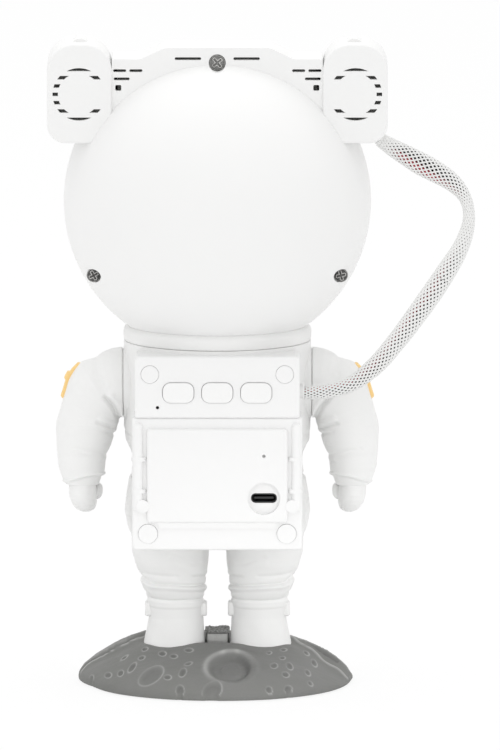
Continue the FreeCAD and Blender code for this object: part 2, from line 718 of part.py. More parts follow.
def ear():
    """Right ear module: a hollow pod with a ring of grille slots in its rear face."""
    outline, radii = ear_outline(0)
    pod = plate_y(outline, radii, EAR_REAR, EAR_FRONT)
    rims = [edge for edge in pod.Edges if edge.BoundBox.YLength < 0.01]
    pod = pod.makeFillet(0.8, rims)
    nub = rod(Vector(EAR_X - 0.3, EAR_REAR + 7, EAR_HIGH - 2.0), Y, 3.2, 10)
    pod = pod.fuse(nub)
    outline, radii = ear_outline(EAR_WALL)
    pod = pod.cut(plate_y(outline, radii, EAR_REAR + EAR_WALL, EAR_FRONT - EAR_WALL))
    pod = pod.cut(grille())
    return pod.cut(ball(CENTRE, HELMET_R))


def grille():
    """Horizontal slots clipped to a ring; the middle rows open on the outer side only."""
    y0 = EAR_REAR - 1
    depth = EAR_WALL + 2
    middle = Vector(EAR_X + 0.1, y0, GRILLE_Z)
    disc = rod(middle, Y, GRILLE_R, depth)
    ring = disc.cut(rod(middle, Y, GRILLE_INNER_R, depth))
    slots = []
    for row in range(-3, 4):
        z = GRILLE_Z + row * SLOT_PITCH
        left = 0 if abs(row) < 2 else -GRILLE_R
        band = box(EAR_X + left, EAR_X + GRILLE_R + 1, y0, y0 + depth,
                   z - SLOT_H / 2, z + SLOT_H / 2)
        if abs(row) == 3:
            band = box(EAR_X - GRILLE_R, EAR_X + GRILLE_R, y0, y0 + depth,
                       z - SLOT_H / 2, z + SLOT_H / 2)
            slots.append(disc.common(band))
        else:
            slots += ring.common(band).Solids
    return group(slots)


def band_outline(inset):
    """Half of the band's top line, mirrored: a raised middle that steps down to the ears."""
    top = BAND_TOP - inset
    shoulder = BAND_SHOULDER - inset
    end = EAR_X - EAR_HALF
    low = 190.0
    outline = [(-end, low), (end, low), (end, shoulder), (27.0 - inset, shoulder),
               (18.5 - inset, top), (inset - 18.5, top), (inset - 27.0, shoulder),
               (-end, shoulder)]
    return outline, [0.5, 0.5, 0.5, 6.0, 6.0, 6.0, 6.0, 0.5]


def headband():
    """Yoke over the back of the helmet, hollow, with slots in its rear face."""
    outline, radii = band_outline(0)
    band = plate_y(outline, radii, BAND_REAR, BAND_FRONT)
    outline, radii = band_outline(BAND_WALL)
    hollow = plate_y(outline, radii, BAND_REAR + BAND_WALL, BAND_FRONT - BAND_WALL)
    band = band.cut(hollow)
    for x, z, width, height in band_slots():
        band = band.cut(pad_y(x, z, width, height, 0.49, BAND_REAR - 1, BAND_REAR + 4))
    band = band.cut(ball(CENTRE, HELMET_R))
    well = Vector(0, BAND_REAR - 1, BAND_SCREW_Z)
    band = band.cut(rod(well, Y, BAND_WELL_R, 1 + BAND_WELL_DEPTH))
    return band.cut(rod(well, Y, SHANK_R, 21))


def band_slots():
    """Centre x, centre z, width and height of each slot in the band's rear face."""
    slots = []
    for side in (-1, 1):
        slots.append((side * 10.3, 223.75, 9.3, 1.0))
        slots.append((side * 34.3, 219.5, 4.6, 1.0))
        slots.append((side * 28.6, 219.5, 4.6, 1.0))
        slots.append((side * 33.6, 216.6, 5.6, 1.0))
        slots.append((side * 34.8, 213.4, 2.1, 2.1))
    return slots


def vent_mesh():
    """Dark dust mesh behind the ear grilles and the band's slots."""
    sheets = []
    for side in (-1, 1):
        sheets.append(rod(Vector(side * EAR_X, EAR_REAR + EAR_WALL, GRILLE_Z), Y, MESH_R, MESH_T))
        rear = BAND_REAR + BAND_WALL
        strip = box(min(side * 15.2, side * 4.6), max(side * 15.2, side * 4.6),
                    rear, rear + MESH_T, 222.6, 224.9)
        sheets.append(strip)
        corner_sheet = box(min(side * 26.0, side * 35.0), max(side * 26.0, side * 35.0),
                           rear, rear + MESH_T, 212.0, 221.0)
        sheets.append(corner_sheet.cut(ball(CENTRE, HELMET_R + 0.2)))
    return group(sheets)


def helmet_bosses(y0, y1):
    posts = []
    for side in (-1, 1):
        posts.append(rod(Vector(side * SCREW_X, y0, SCREW_Z), Y, SCREW_BOSS_R, y1 - y0))
    return posts


def helmet_rear():
    """Rear shell with two screw wells and the port that leads the wires out to the ear."""
    outside = ball(CENTRE, HELMET_R)
    shell = outside.cut(ball(CENTRE, HELMET_R - HELMET_WALL))
    back = box(-60, 60, -60, PARTING_Y, 100, 240)
    shell = shell.common(back)
    for post in helmet_bosses(WELL_FLOOR_Y - 1, PARTING_Y):
        shell = shell.fuse(post.common(outside))
    for side in (-1, 1):
        shell = shell.cut(rod(Vector(side * SCREW_X, -40, SCREW_Z), Y, WELL_R, 40 + WELL_FLOOR_Y))
        shell = shell.cut(rod(Vector(side * SCREW_X, -40, SCREW_Z), Y, SHANK_R, 60))
    shell = shell.cut(rod(Vector(30, -8, 206), X, 3.2, 20))
    shell = shell.cut(rod(Vector(0, -40, BAND_SCREW_Z), Y, BAND_WELL_R,
                          40 + BAND_REAR + BAND_WELL_DEPTH))
    return shell.cut(rod(Vector(0, -40, BAND_SCREW_Z), Y, SHANK_R, 36))


def helmet_front():
    """Front shell with the visor's opening, a raised lip round it and the bracket's posts."""
    outside = ball(CENTRE, HELMET_R)
    front = box(-60, 60, PARTING_Y, 70, 100, 240)
    shell = outside.cut(ball(CENTRE, HELMET_R - HELMET_WALL))
    lip = visor_prism(3.0, 10, 70).common(ball(CENTRE, HELMET_R + 1.2))
    lip = lip.cut(ball(CENTRE, HELMET_R - HELMET_WALL))
    shell = shell.fuse(lip).common(front).cut(visor_prism(0, 0, 70))
    for post in helmet_bosses(PARTING_Y, PARTING_Y + 9):
        shell = shell.fuse(post.common(outside))
    for x, z in bracket_points():
        post = rod(Vector(x, PLATE_Y + PLATE_T, z), Y, 2.6, 14).common(outside)
        shell = shell.fuse(post)
        shell = shell.cut(rod(Vector(x, PLATE_Y, z), Y, 0.9, 9))
    for side in (-1, 1):
        shell = shell.cut(rod(Vector(side * SCREW_X, 0, SCREW_Z), Y, SHANK_R, 12))
    return shell


def bracket_points():
    """Four posts near the plate's rim, beside the visor's opening."""
    places = []
    for angle in (68, 112, 248, 292):
        places.append((POST_REACH * math.cos(math.radians(angle)),
                       HELMET_Z + POST_REACH * math.sin(math.radians(angle))))
    return places


def visor():
    """Dark dome that fills the opening, bored for the lens barrel and the laser's beam."""
    middle = CENTRE + Y * VISOR_BULGE
    dome = ball(middle, HELMET_R - 0.4).cut(ball(middle, HELMET_R - 0.4 - VISOR_WALL))
    dome = dome.common(visor_prism(-0.1, 25, 70))
    dome = dome.cut(rod(Vector(0, 20, BEAM_Z), Y, BARREL_R + 0.1, 50))
    laser_x, laser_z = grating_place()
    return dome.cut(rod(Vector(laser_x, 20, laser_z), Y, 3.0, 50))


def strike_plate():
    """Steel bowl inside the helmet's foot that the neck magnet pulls on."""
    outer = HELMET_R - HELMET_WALL
    bowl = ball(CENTRE, outer).cut(ball(CENTRE, outer - 1.0))
    return bowl.common(rod(Vector(0, 0, 100), Z, 30.0, 60))


def helmet_screws():
    """Two screws in the helmet's wells and the wider one at the middle of the band."""
    screws = []
    seats = [(-SCREW_X, SCREW_Z, WELL_FLOOR_Y, WELL_R - 0.25, 26.0),
             (SCREW_X, SCREW_Z, WELL_FLOOR_Y, WELL_R - 0.25, 26.0),
             (0, BAND_SCREW_Z, BAND_REAR + BAND_WELL_DEPTH, BAND_SCREW_R, 12.0)]
    for x, z, seat, head_r, reach in seats:
        head = rod(Vector(x, seat - 1.5, z), Y, head_r, 1.5)
        rim = [edge for edge in head.Edges if edge.BoundBox.YMax < seat - 1.4]
        head = head.makeFillet(0.5, rim)
        arm = head_r * 0.62
        cross = box(x - arm, x + arm, seat - 2, seat - 0.7, z - 0.33, z + 0.33)
        cross = cross.fuse(box(x - 0.33, x + 0.33, seat - 2, seat - 0.7, z - arm, z + arm))
        shank = rod(Vector(x, seat, z), Y, SHANK_R - 0.05, reach)
        screws.append(head.cut(cross).fuse(shank))
    return group(screws)


def ear_gland():
    """Grommet in the ear's lower corner."""
    aim = Vector(0.81, -0.12, -0.57).normalize()
    return rod(EAR_EXIT - aim * 4.9, aim, 2.7, 4.6)


# ---------------------------------------------------------------- optics
def place_at(angle, teeth):
    reach = MODULE * (DISC_TEETH + teeth) / 2 + BACKLASH
    return (DISC_X + reach * math.cos(math.radians(angle)),
            DISC_Z + reach * math.sin(math.radians(angle)))


def pinion_place():
    return place_at(PINION_ANGLE, PINION_TEETH)


def grating_place():
    return place_at(GRATING_ANGLE, GRATING_TEETH)


def toothed_disc(x, z, teeth, phase, bore):
    """A spur wheel in the gear plane; phase is the direction of one tooth in degrees."""
    pitch_r = MODULE * teeth / 2
    root = pitch_r - 1.15 * MODULE
    tip = pitch_r + 0.9 * MODULE
    step = 360.0 / teeth
    corners = []
    for i in range(teeth):
        for share, radius in ((-0.29, root), (-0.11, tip), (0.11, tip), (0.29, root)):
            angle = math.radians(phase + (i + share) * step)
            corners.append(Vector(x + radius * math.cos(angle), GEAR_Y,
                                  z + radius * math.sin(angle)))
    corners.append(corners[0])
    wheel = Part.Face(Part.makePolygon(corners)).extrude(Vector(0, GEAR_T, 0))
    return wheel.cut(rod(Vector(x, GEAR_Y - 1, z), Y, bore, GEAR_T + 2))


def disc_gear():
    """Toothed rim round the rippled glass."""
    return toothed_disc(DISC_X, DISC_Z, DISC_TEETH, PINION_ANGLE, RIM_BORE)


def ripple_disc():
    """Glass disc with a hub that turns on the spindle."""
    glass = rod(Vector(DISC_X, GEAR_Y + 0.4, DISC_Z), Y, RIM_BORE, 1.6)
    hub = rod(Vector(DISC_X, GEAR_Y - 0.6, DISC_Z), Y, 3.2, 4.0)
    return glass.fuse(hub).cut(rod(Vector(DISC_X, 10, DISC_Z), Y, 1.05, 20))


def disc_spindle():
    pin = rod(Vector(DISC_X, PLATE_Y, DISC_Z), Y, 1.0, 9.6)
    return pin.fuse(rod(Vector(DISC_X, GEAR_Y + 3.8, DISC_Z), Y, 2.2, 0.8))


def motor_pinion():
    x, z = pinion_place()
    half_step = 180.0 / PINION_TEETH
    wheel = toothed_disc(x, z, PINION_TEETH, PINION_ANGLE + 180 + half_step, 1.0)
    shaft = rod(Vector(x, PLATE_Y - 1.0, z), Y, 1.0, GEAR_Y + GEAR_T - PLATE_Y + 1.6)
    return wheel.fuse(shaft)


def grating_gear():
    x, z = grating_place()
    half_step = 180.0 / GRATING_TEETH
    return toothed_disc(x, z, GRATING_TEETH, GRATING_ANGLE + 180 + half_step, 3.6)


def grating_disc():
    """Film disc in the front of the grating wheel."""
    x, z = grating_place()
    return rod(Vector(x, GEAR_Y + 1.8, z), Y, 3.6, 0.6)


def optical_bracket():
    """Plate that carries the whole mechanism, with seats for each part."""
    plate = rod(Vector(0, PLATE_Y, HELMET_Z), Y, PLATE_R, PLATE_T)
    for side in (-1, 1):
        plate = plate.cut(box(min(side * 36, side * 50), max(side * 36, side * 50), 10, 20,
                              100, 240))
    laser_x, laser_z = grating_place()
    motor_x, motor_z = pinion_place()
    tube = rod(Vector(laser_x, PLATE_Y, laser_z), Y, 3.5, GEAR_Y + 1.6 - PLATE_Y)
    plate = plate.fuse(tube)
    collar = rod(Vector(0, PLATE_Y - 6, BEAM_Z), Y, 9.2, 6).cut(
        rod(Vector(0, PLATE_Y - 6, BEAM_Z), Y, 7.8, 6))
    plate = plate.fuse(collar)
    plate = plate.cut(rod(Vector(0, 0, BEAM_Z), Y, 7.0, 30))
    plate = plate.cut(rod(Vector(laser_x, 0, laser_z), Y, 2.4, 30))
    plate = plate.cut(rod(Vector(motor_x, 0, motor_z), Y, 1.4, 30))
    plate = plate.cut(rod(Vector(DISC_X, 0, DISC_Z), Y, 1.0, 30))
    for x, z in bracket_points():
        plate = plate.cut(rod(Vector(x, 0, z), Y, 1.0, 30))
    return plate


def bracket_screws():
    screws = []
    for x, z in bracket_points():
        head = rod(Vector(x, PLATE_Y - 1.4, z), Y, 1.9, 1.4)
        screws.append(head.fuse(rod(Vector(x, PLATE_Y, z), Y, 0.85, 8.0)))
    return group(screws)


def heatsink():
    """Finned aluminium block behind the lamp."""
    low = BEAM_Z - SINK_HALF
    high = BEAM_Z + SINK_HALF
    block = box(-SINK_HALF, SINK_HALF, LAMP_Y - 4, LAMP_Y, low, high)
    pitch = (2 * SINK_HALF - FIN_T) / (FINS - 1)
    for i in range(FINS):
        x = -SINK_HALF + i * pitch
        block = block.fuse(box(x, x + FIN_T, LAMP_Y - 20, LAMP_Y - 4, low, high))
    return block


def led_board():
    """Lamp board with its emitter."""
    board = rod(Vector(0, LAMP_Y, BEAM_Z), Y, 9.6, 1.6)
    for side in (-1, 1):
        board = board.cut(rod(Vector(side * 7.2, LAMP_Y - 1, BEAM_Z), Y, 1.2, 4))
    return board.fuse(rod(Vector(0, LAMP_Y + 1.6, BEAM_Z), Y, 2.6, 1.0))


def dome_lens(y0, radius, edge, bulge):
    """A round lens with a flat rear face and a domed front."""
    sphere_r = (radius * radius + bulge * bulge) / (2 * bulge)
    half = math.asin(radius / sphere_r) / 2
    top = y0 + edge + bulge
    middle = Vector(sphere_r * math.sin(half), top - sphere_r * (1 - math.cos(half)), BEAM_Z)
    rim = Vector(radius, y0 + edge, BEAM_Z)
    crest = Vector(0, top, BEAM_Z)
    flat = [crest, Vector(0, y0, BEAM_Z), Vector(radius, y0, BEAM_Z), rim]
    edges = [Part.LineSegment(a, b).toShape() for a, b in zip(flat, flat[1:])]
    edges.append(Part.Arc(rim, middle, crest).toShape())
    return Part.Face(Part.Wire(edges)).revolve(Vector(0, 0, BEAM_Z), Y, 360)


def collimator():
    return dome_lens(PLATE_Y - 6, 7.7, 2.0, 3.0)


def barrel_front():
    """How far forward the barrel stands at the visor."""
    return VISOR_BULGE + HELMET_R


def lens_barrel():
    """Tube from the gear space out through the visor."""
    start = GEAR_Y + 6.0
    end = barrel_front()
    tube = rod(Vector(0, start, BEAM_Z), Y, BARREL_R, end - start)
    tube = tube.cut(rod(Vector(0, start - 1, BEAM_Z), Y, LENS_R - 1.0, 60))
    return tube.cut(rod(Vector(0, end - 6.0, BEAM_Z), Y, LENS_R, 20))


def projection_lens():
    return dome_lens(barrel_front() - 6.0, LENS_R - 0.05, 2.4, 3.4)


def laser_module():
    """Brass laser behind the grating wheel."""
    x, z = grating_place()
    body = rod(Vector(x, -4, z), Y, 4.0, PLATE_Y + 4)
    return body.cut(rod(Vector(x, PLATE_Y - 3, z), Y, 1.6, 4))


def disc_motor():
    """Round gear motor fixed behind the bracket."""
    x, z = pinion_place()
    can = rod(Vector(x, -2, z), Y, 7.4, PLATE_Y + 2 - 1.2)
    flange = pad_y(x, z, 22.0, 9.0, 4.4, PLATE_Y - 1.2, PLATE_Y)
    can = can.fuse(flange)
    return can.cut(rod(Vector(x, PLATE_Y - 1.4, z), Y, 1.3, 3))


def head_board():
    """Driver board across the back of the helmet."""
    board = box(-26, 26, -30, -28.4, HELMET_Z - 20, HELMET_Z + 16)
    chips = [box(-12, 2, -28.4, -26.8, HELMET_Z - 8, HELMET_Z + 4),
             box(8, 18, -28.4, -24.4, HELMET_Z - 14, HELMET_Z - 7)]
    return board.fuse(chips)


# ---------------------------------------------------------------- cable
def control_cable():
    """Sleeved cable from the ear to the backpack, as straight runs joined by tangent arcs."""
    points = [Vector(*place) for place in ROUTE]
    edges = []
    start = points[0]
    radii = []
    for before, at, after in zip(points, points[1:], points[2:]):
        turn = (at - before).getAngle(after - at)
        shorter = min((at - before).Length, (after - at).Length)
        radius = 0.45 * shorter / math.tan(turn / 2)
        radii.append(radius)
        first, middle, last = corner(before, at, after, radius)
        edges.append(Part.LineSegment(start, first).toShape())
        edges.append(Part.Arc(first, middle, last).toShape())
        start = last
    edges.append(Part.LineSegment(start, points[-1]).toShape())
    path = Part.Wire(edges)
    section = Part.Wire(Part.Circle(points[0], points[1] - points[0], CABLE_D / 2).toShape())
    tube = path.makePipeShell([section], True, False)
    ideal = path.Length * math.pi * CABLE_D ** 2 / 4
    print("cable length %.1f, volume %.1f of %.1f" % (path.Length, tube.Volume, ideal))
    print("cable radii " + ", ".join("%.1f" % radius for radius in radii))
    return tube


# ---------------------------------------------------------------- write the nodes
def base_nodes():
    right = boot_print()
    save("moon_base", rock_base([right, mirrored(right)]))
    save("base_plate", base_plate())
    save("base_screws", base_screws())
    save("foot_pad", foot_pad())
    right_leg = leg()
    save("right_leg", right_leg)
    save("left_leg", mirrored(right_leg))


def torso_nodes():
    rear, front = torso_halves()
    save("torso_rear", rear)
    save("torso_front", front)
    save("neck_collar", neck_collar())
    save("seat_magnet", rod(Vector(0, 0, MAGNET_FLOOR + 0.05), Z, MAGNET_R, MAGNET_H))
    save("chest_pack", chest_pack())


def pack_nodes():
    save("pack_upper_cover", upper_cover())
    save("pack_lower_cover", lower_cover())
    save("pack_panel", pack_panel())
    save("screw_covers", screw_covers())
    save("pack_screws", pack_screws())
    save("button_board", button_board())
    save("tact_switches", tact_switches())
    save("usb_socket", usb_socket())
    save("usb_board", usb_board())
    save("torso_gland", torso_gland())
    for name, shift in (("left_button", -BUTTON_X), ("middle_button", 0), ("right_button", BUTTON_X)):
        cap = button()
        cap.translate(Vector(shift, 0, 0))
        save(name, cap)


def arm_nodes():
    right = {"arm": sleeve(), "glove": glove(), "peg": peg()}
    right["glove"] = right["glove"].cut(right["arm"])
    right["patch"] = patch(right["arm"])
    for name, shape in right.items():
        save("right_" + name, shape)
        save("left_" + name, mirrored(shape))


def helmet_nodes():
    save("helmet_rear", helmet_rear())
    save("helmet_front", helmet_front())
    save("visor", visor())
    save("strike_plate", strike_plate())
    save("headband", headband())
    pod = ear()
    gland = ear_gland()
    save("right_ear", pod.cut(gland))
    save("left_ear", mirrored(pod))
    save("ear_gland", gland)
    save("vent_mesh", vent_mesh())
    save("helmet_screws", helmet_screws())
    save("head_board", head_board())


def optics_nodes():
    save("optical_bracket", optical_bracket())
    save("bracket_screws", bracket_screws())
    save("heatsink", heatsink())
    save("led_board", led_board())
    save("collimator", collimator())
    save("lens_barrel", lens_barrel())
    save("projection_lens", projection_lens())
    save("laser_module", laser_module())
    save("disc_motor", disc_motor())
    save("disc_spindle", disc_spindle())
    save("disc_gear", disc_gear())
    save("ripple_disc", ripple_disc())
    save("motor_pinion", motor_pinion())
    save("grating_gear", grating_gear())
    save("grating_disc", grating_disc())


base_nodes()
torso_nodes()
pack_nodes()
arm_nodes()
helmet_nodes()
optics_nodes()
save("control_cable", control_cable())
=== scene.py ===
import math

import bmesh
import bpy
import numpy as np
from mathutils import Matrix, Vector


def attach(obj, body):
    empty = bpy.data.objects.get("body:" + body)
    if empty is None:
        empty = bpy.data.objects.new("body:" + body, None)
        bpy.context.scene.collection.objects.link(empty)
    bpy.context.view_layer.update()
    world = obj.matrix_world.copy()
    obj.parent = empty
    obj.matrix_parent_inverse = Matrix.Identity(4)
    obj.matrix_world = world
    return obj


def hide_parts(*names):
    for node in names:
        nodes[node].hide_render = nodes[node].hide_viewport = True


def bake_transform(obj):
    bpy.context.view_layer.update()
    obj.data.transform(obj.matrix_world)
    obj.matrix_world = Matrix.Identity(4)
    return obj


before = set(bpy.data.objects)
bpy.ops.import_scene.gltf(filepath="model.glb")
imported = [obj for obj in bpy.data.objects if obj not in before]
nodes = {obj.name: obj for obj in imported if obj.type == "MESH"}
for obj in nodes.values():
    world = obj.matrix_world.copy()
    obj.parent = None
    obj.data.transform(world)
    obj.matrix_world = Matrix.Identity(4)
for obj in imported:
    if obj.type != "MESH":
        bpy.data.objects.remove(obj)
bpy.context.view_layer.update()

# Astronaut projector: finishes, moulded suit parts, cast rock base, braided cable and studio.
# Points are worked out in millimetres and go into each mesh in metres. Azimuth 0 is the rear,
# where the backpack is; +X is the figure's right-hand side as seen from there.

MM = 0.001
scene = bpy.context.scene


# ------------------------------------------------------------------ shader arithmetic
class Reading:
    """The value of one shader socket; sums on it add Math nodes."""

    def __init__(self, finish, socket):
        self.finish = finish
        self.socket = socket

    def work(self, operation, first, second):
        return self.finish.node("Math", {"operation": operation}, {0: first, 1: second})

    def __add__(self, other):
        return self.work("ADD", self, other)

    def __radd__(self, other):
        return self.work("ADD", other, self)

    def __sub__(self, other):
        return self.work("SUBTRACT", self, other)

    def __mul__(self, other):
        return self.work("MULTIPLY", self, other)

    def __rmul__(self, other):
        return self.work("MULTIPLY", other, self)


class Finish:
    """A node material built round one Principled shader."""

    def __init__(self, name, colour, roughness, **fixed):
        self.material = bpy.data.materials.new(name)
        self.material.use_nodes = True
        self.tree = self.material.node_tree
        self.shader = self.tree.nodes["Principled BSDF"]
        self.put(self.shader.inputs["Base Color"], colour + (1.0,))
        self.put(self.shader.inputs["Roughness"], roughness)
        for socket, value in fixed.items():
            self.put(self.shader.inputs[socket.replace("_", " ")], value)

    def put(self, socket, value):
        if isinstance(value, Reading):
            self.tree.links.new(value.socket, socket)
        else:
            socket.default_value = value

    def node(self, kind, settings=None, sockets=None, output=0):
        made = self.tree.nodes.new("ShaderNode" + kind)
        for setting, value in (settings or {}).items():
            setattr(made, setting, value)
        for socket, value in (sockets or {}).items():
            self.put(made.inputs[socket], value)
        return Reading(self, made.outputs[output])

    def place(self):
        """Object coordinates, in metres."""
        return self.node("TexCoord", output="Object")

    def noise(self, size, detail=2.0, stretch=None, roughness=0.5):
        """Soft noise whose lumps are about size metres across."""
        place = self.place()
        if stretch:
            place = self.node("Mapping", {}, {"Vector": place, "Scale": stretch})
        return self.node("TexNoise", {}, {"Vector": place, "Scale": 1.0 / size,
                                          "Detail": detail, "Roughness": roughness})

    def blend(self, share, first, second):
        """A colour between two colours."""
        pair = [c if isinstance(c, Reading) else c + (1.0,) for c in (first, second)]
        return self.node("Mix", {"data_type": "RGBA"}, {0: share, 6: pair[0], 7: pair[1]}, 2)

    def attribute(self, name):
        return self.node("Attribute", {"attribute_name": name}, {}, "Fac")

    def paint(self, colour):
        self.put(self.shader.inputs["Base Color"], colour)

    def roughen(self, roughness):
        self.put(self.shader.inputs["Roughness"], roughness)

    def relief(self, height, depth):
        """Bump whose full height is depth metres."""
        normal = self.node("Bump", {}, {"Strength": 1.0, "Distance": depth, "Height": height})
        self.put(self.shader.inputs["Normal"], normal)


def shade(colour, share):
    """The same colour made darker or lighter."""
    return tuple(c * share for c in colour)


# ------------------------------------------------------------------ finishes
def moulded(name, colour, roughness, grain, tone=0.035, coat=0.0):
    """Injection-moulded plastic: fine spark grain with slow drifts of tone and gloss."""
    f = Finish(name, colour, roughness, Specular_IOR_Level=0.45, Coat_Weight=coat,
               Coat_Roughness=0.25)
    drift = f.noise(0.028, 3.0)
    speck = f.noise(0.0011, 2.0)
    f.paint(f.blend(drift * 0.7 + speck * 0.3, shade(colour, 1 - tone), colour))
    f.roughen(drift * 0.12 + speck * 0.08 + (roughness - 0.10))
    f.relief(f.noise(0.00042, 2.0), grain)
    return f.material


def cast_rock():
    """Grey cast resin with a matt skin; painted highlight lightens crests, crater rims and the
    boulder's cut face, painted shade darkens grooves, crater bowls and the gaps round the boulder,
    and the boulder's broken top is flecked lighter and darker.
    """
    grey = (0.218, 0.218, 0.214)
    f = Finish("cast_rock", grey, 0.62, Specular_IOR_Level=0.35)
    blotch = f.noise(0.011, 4.0, roughness=0.6)
    speck = f.noise(0.0009, 3.0, roughness=0.65)
    crest = f.attribute("crest")
    pit = f.attribute("pit")
    slow = f.noise(0.055, 1.0)
    body = f.blend(blotch * 0.45 + speck * 0.15 + slow * 0.4, (0.158, 0.163, 0.146),
                   (0.212, 0.210, 0.211))
    # painted shade in grooves, crater bowls, the ledge's hollow and round the boulder, with darker
    # flecks on the boulder's broken top
    dark = f.blend(pit * 0.8, body, (0.095, 0.095, 0.092))
    # painted highlight on crests, crater rims and the boulder's cut face, with lighter flecks on
    # its broken top
    worn = f.blend(crest * 0.85, dark, (0.47, 0.47, 0.46))
    f.paint(worn)
    f.roughen(0.56 + 0.16 * speck - 0.10 * crest)
    f.relief(speck * 0.6 + f.noise(0.003, 3.0) * 0.4, 0.00022)
    return f.material


def painted_gold():
    """Warm gold paint, a little worn at the raised edges."""
    gold = (0.93, 0.60, 0.20)
    f = Finish("painted_gold", gold, 0.42, Specular_IOR_Level=0.5)
    drift = f.noise(0.006, 3.0)
    speck = f.noise(0.0006, 2.0)
    edge = f.attribute("edge")
    base = f.blend(drift, shade(gold, 0.93), (0.97, 0.69, 0.30))
    f.paint(f.blend(edge * speck * 0.8, base, (0.97, 0.82, 0.55)))
    f.roughen(0.36 + 0.16 * speck)
    f.relief(speck, 0.00003)
    return f.material


def metal(name, colour, roughness, grain, stretch=(1.0, 1.0, 1.0)):
    """Bare or plated metal with fine tool marks."""
    f = Finish(name, colour, roughness, Metallic=1.0)
    marks = f.noise(0.0012, 3.0, stretch)
    cloud = f.noise(0.006, 2.0)
    f.paint(f.blend(cloud * 0.6 + marks * 0.4, shade(colour, 0.78), colour))
    f.roughen(roughness - 0.08 + 0.2 * marks)
    f.relief(marks, grain)
    return f.material


def screw_zinc():
    """Dark zinc-plated steel with painted glints on the cross recess's edges and the head's rim;
    the two low screws, down in their wells, take painted shade.
    """
    dark = (0.16, 0.16, 0.158)
    f = Finish("screw_zinc", dark, 0.38, Metallic=0.75)
    speck = f.noise(0.0007, 3.0, roughness=0.7)
    scratch = f.noise(0.0010, 2.0, (1.0, 1.0, 6.0))
    # painted shade: the two low screws, down in their wells, get a darker base than the top screw
    base = f.blend(speck * scratch * (0.8 + 1.4 * f.attribute("fresh")), (0.022, 0.022, 0.022),
                   (0.34, 0.34, 0.33))
    # painted glints on the cross recess's edges and the head's rim
    f.paint(f.blend(f.attribute("worn") * speck * 1.8, base, (0.78, 0.77, 0.75)))
    f.roughen(0.28 + 0.3 * speck)
    f.relief(speck, 0.00008)
    return f.material


def woven_screen():
    """Dark cloth behind the grilles: two sets of threads crossing."""
    f = Finish("woven_screen", (0.085, 0.086, 0.082), 0.85)
    bands = {"wave_profile": "SIN", "bands_direction": "X"}
    across = f.node("TexWave", bands, {"Vector": f.place(), "Scale": 420.0})
    bands["bands_direction"] = "Z"
    down = f.node("TexWave", bands, {"Vector": f.place(), "Scale": 420.0})
    weave = across * 0.5 + down * 0.5
    f.paint(f.blend(weave, (0.05, 0.051, 0.048), (0.115, 0.116, 0.11)))
    f.relief(weave, 0.00012)
    return f.material


def yarn(name, colour, sheen=0.15):
    """Polyester braid yarn: fine filaments lying along each strand."""
    f = Finish(name, colour, 0.6, Sheen_Weight=sheen, Specular_IOR_Level=0.35)
    along = f.node("UVMap")
    lines = f.node("Mapping", {}, {"Vector": along, "Scale": (1.5, 22.0, 1.0)})
    filament = f.node("TexNoise", {}, {"Vector": lines, "Scale": 1.0, "Detail": 2.0})
    f.paint(f.blend(filament, shade(colour, 0.86), colour))
    f.roughen(0.5 + 0.2 * filament)
    f.relief(filament, 0.00006)
    return f.material


def insulation(name, colour):
    """Thin PVC wire jacket."""
    f = Finish(name, colour, 0.6, Specular_IOR_Level=0.2)
    smear = f.noise(0.002, 2.0)
    f.paint(f.blend(smear, shade(colour, 0.8), colour))
    f.roughen(0.55 + 0.2 * smear)
    f.relief(smear, 0.00003)
    return f.material


def circuit_board():
    """Green solder mask over faint copper tracks."""
    f = Finish("circuit_board", (0.02, 0.14, 0.06), 0.3, Coat_Weight=0.4)
    tracks = f.node("TexBrick", {"offset": 0.5}, {"Vector": f.place(), "Scale": 260.0,
                                                  "Mortar Size": 0.012}, "Fac")
    cloud = f.noise(0.01)
    f.paint(f.blend(tracks, f.blend(cloud, (0.02, 0.13, 0.055), (0.03, 0.17, 0.07)),
                    (0.06, 0.27, 0.12)))
    f.relief(tracks, 0.00004)
    return f.material


def clear(name, tint, roughness, frost):
    """Moulded glass or acrylic with slight ripples."""
    f = Finish(name, tint, roughness, Transmission_Weight=1.0, IOR=1.49)
    ripple = f.noise(0.0035, 2.0)
    f.paint(f.blend(ripple, shade(tint, 0.94), tint))
    f.relief(ripple, frost)
    return f.material


def rubber():
    """Matt black foam rubber with closed pores."""
    f = Finish("foam_rubber", (0.03, 0.03, 0.03), 0.9)
    pores = f.node("TexVoronoi", {}, {"Vector": f.place(), "Scale": 1600.0})
    f.paint(f.blend(pores, (0.018, 0.018, 0.018), (0.045, 0.045, 0.045)))
    f.relief(pores, 0.0001)
    return f.material


WHITE = (0.86, 0.86, 0.855)
helmet_white = moulded("helmet_white", WHITE, 0.58, 0.000018, 0.02)
cover_white = moulded("cover_white", (0.86, 0.86, 0.857), 0.52, 0.000022, 0.02)
suit_white = moulded("suit_white", (0.84, 0.84, 0.832), 0.5, 0.000035, 0.03)
button_white = moulded("button_white", (0.87, 0.87, 0.865), 0.45, 0.000015, 0.015)
rock_grey = cast_rock()
gold = painted_gold()
zinc = screw_zinc()
screen_cloth = woven_screen()
sleeve_yarn = yarn("sleeve_yarn", (0.86, 0.86, 0.85))
red_wire = insulation("red_wire", (0.52, 0.035, 0.06))
black_wire = insulation("black_wire", (0.012, 0.012, 0.012))
board_green = circuit_board()
steel = metal("drawn_steel", (0.62, 0.62, 0.63), 0.35, 0.00003, (1.0, 6.0, 1.0))
nickel = metal("bright_nickel", (0.78, 0.77, 0.74), 0.22, 0.00002)
alloy = metal("extruded_alloy", (0.70, 0.71, 0.73), 0.4, 0.00003, (1.0, 1.0, 6.0))
brass = metal("turned_brass", (0.80, 0.60, 0.28), 0.3, 0.00002, (1.0, 6.0, 1.0))
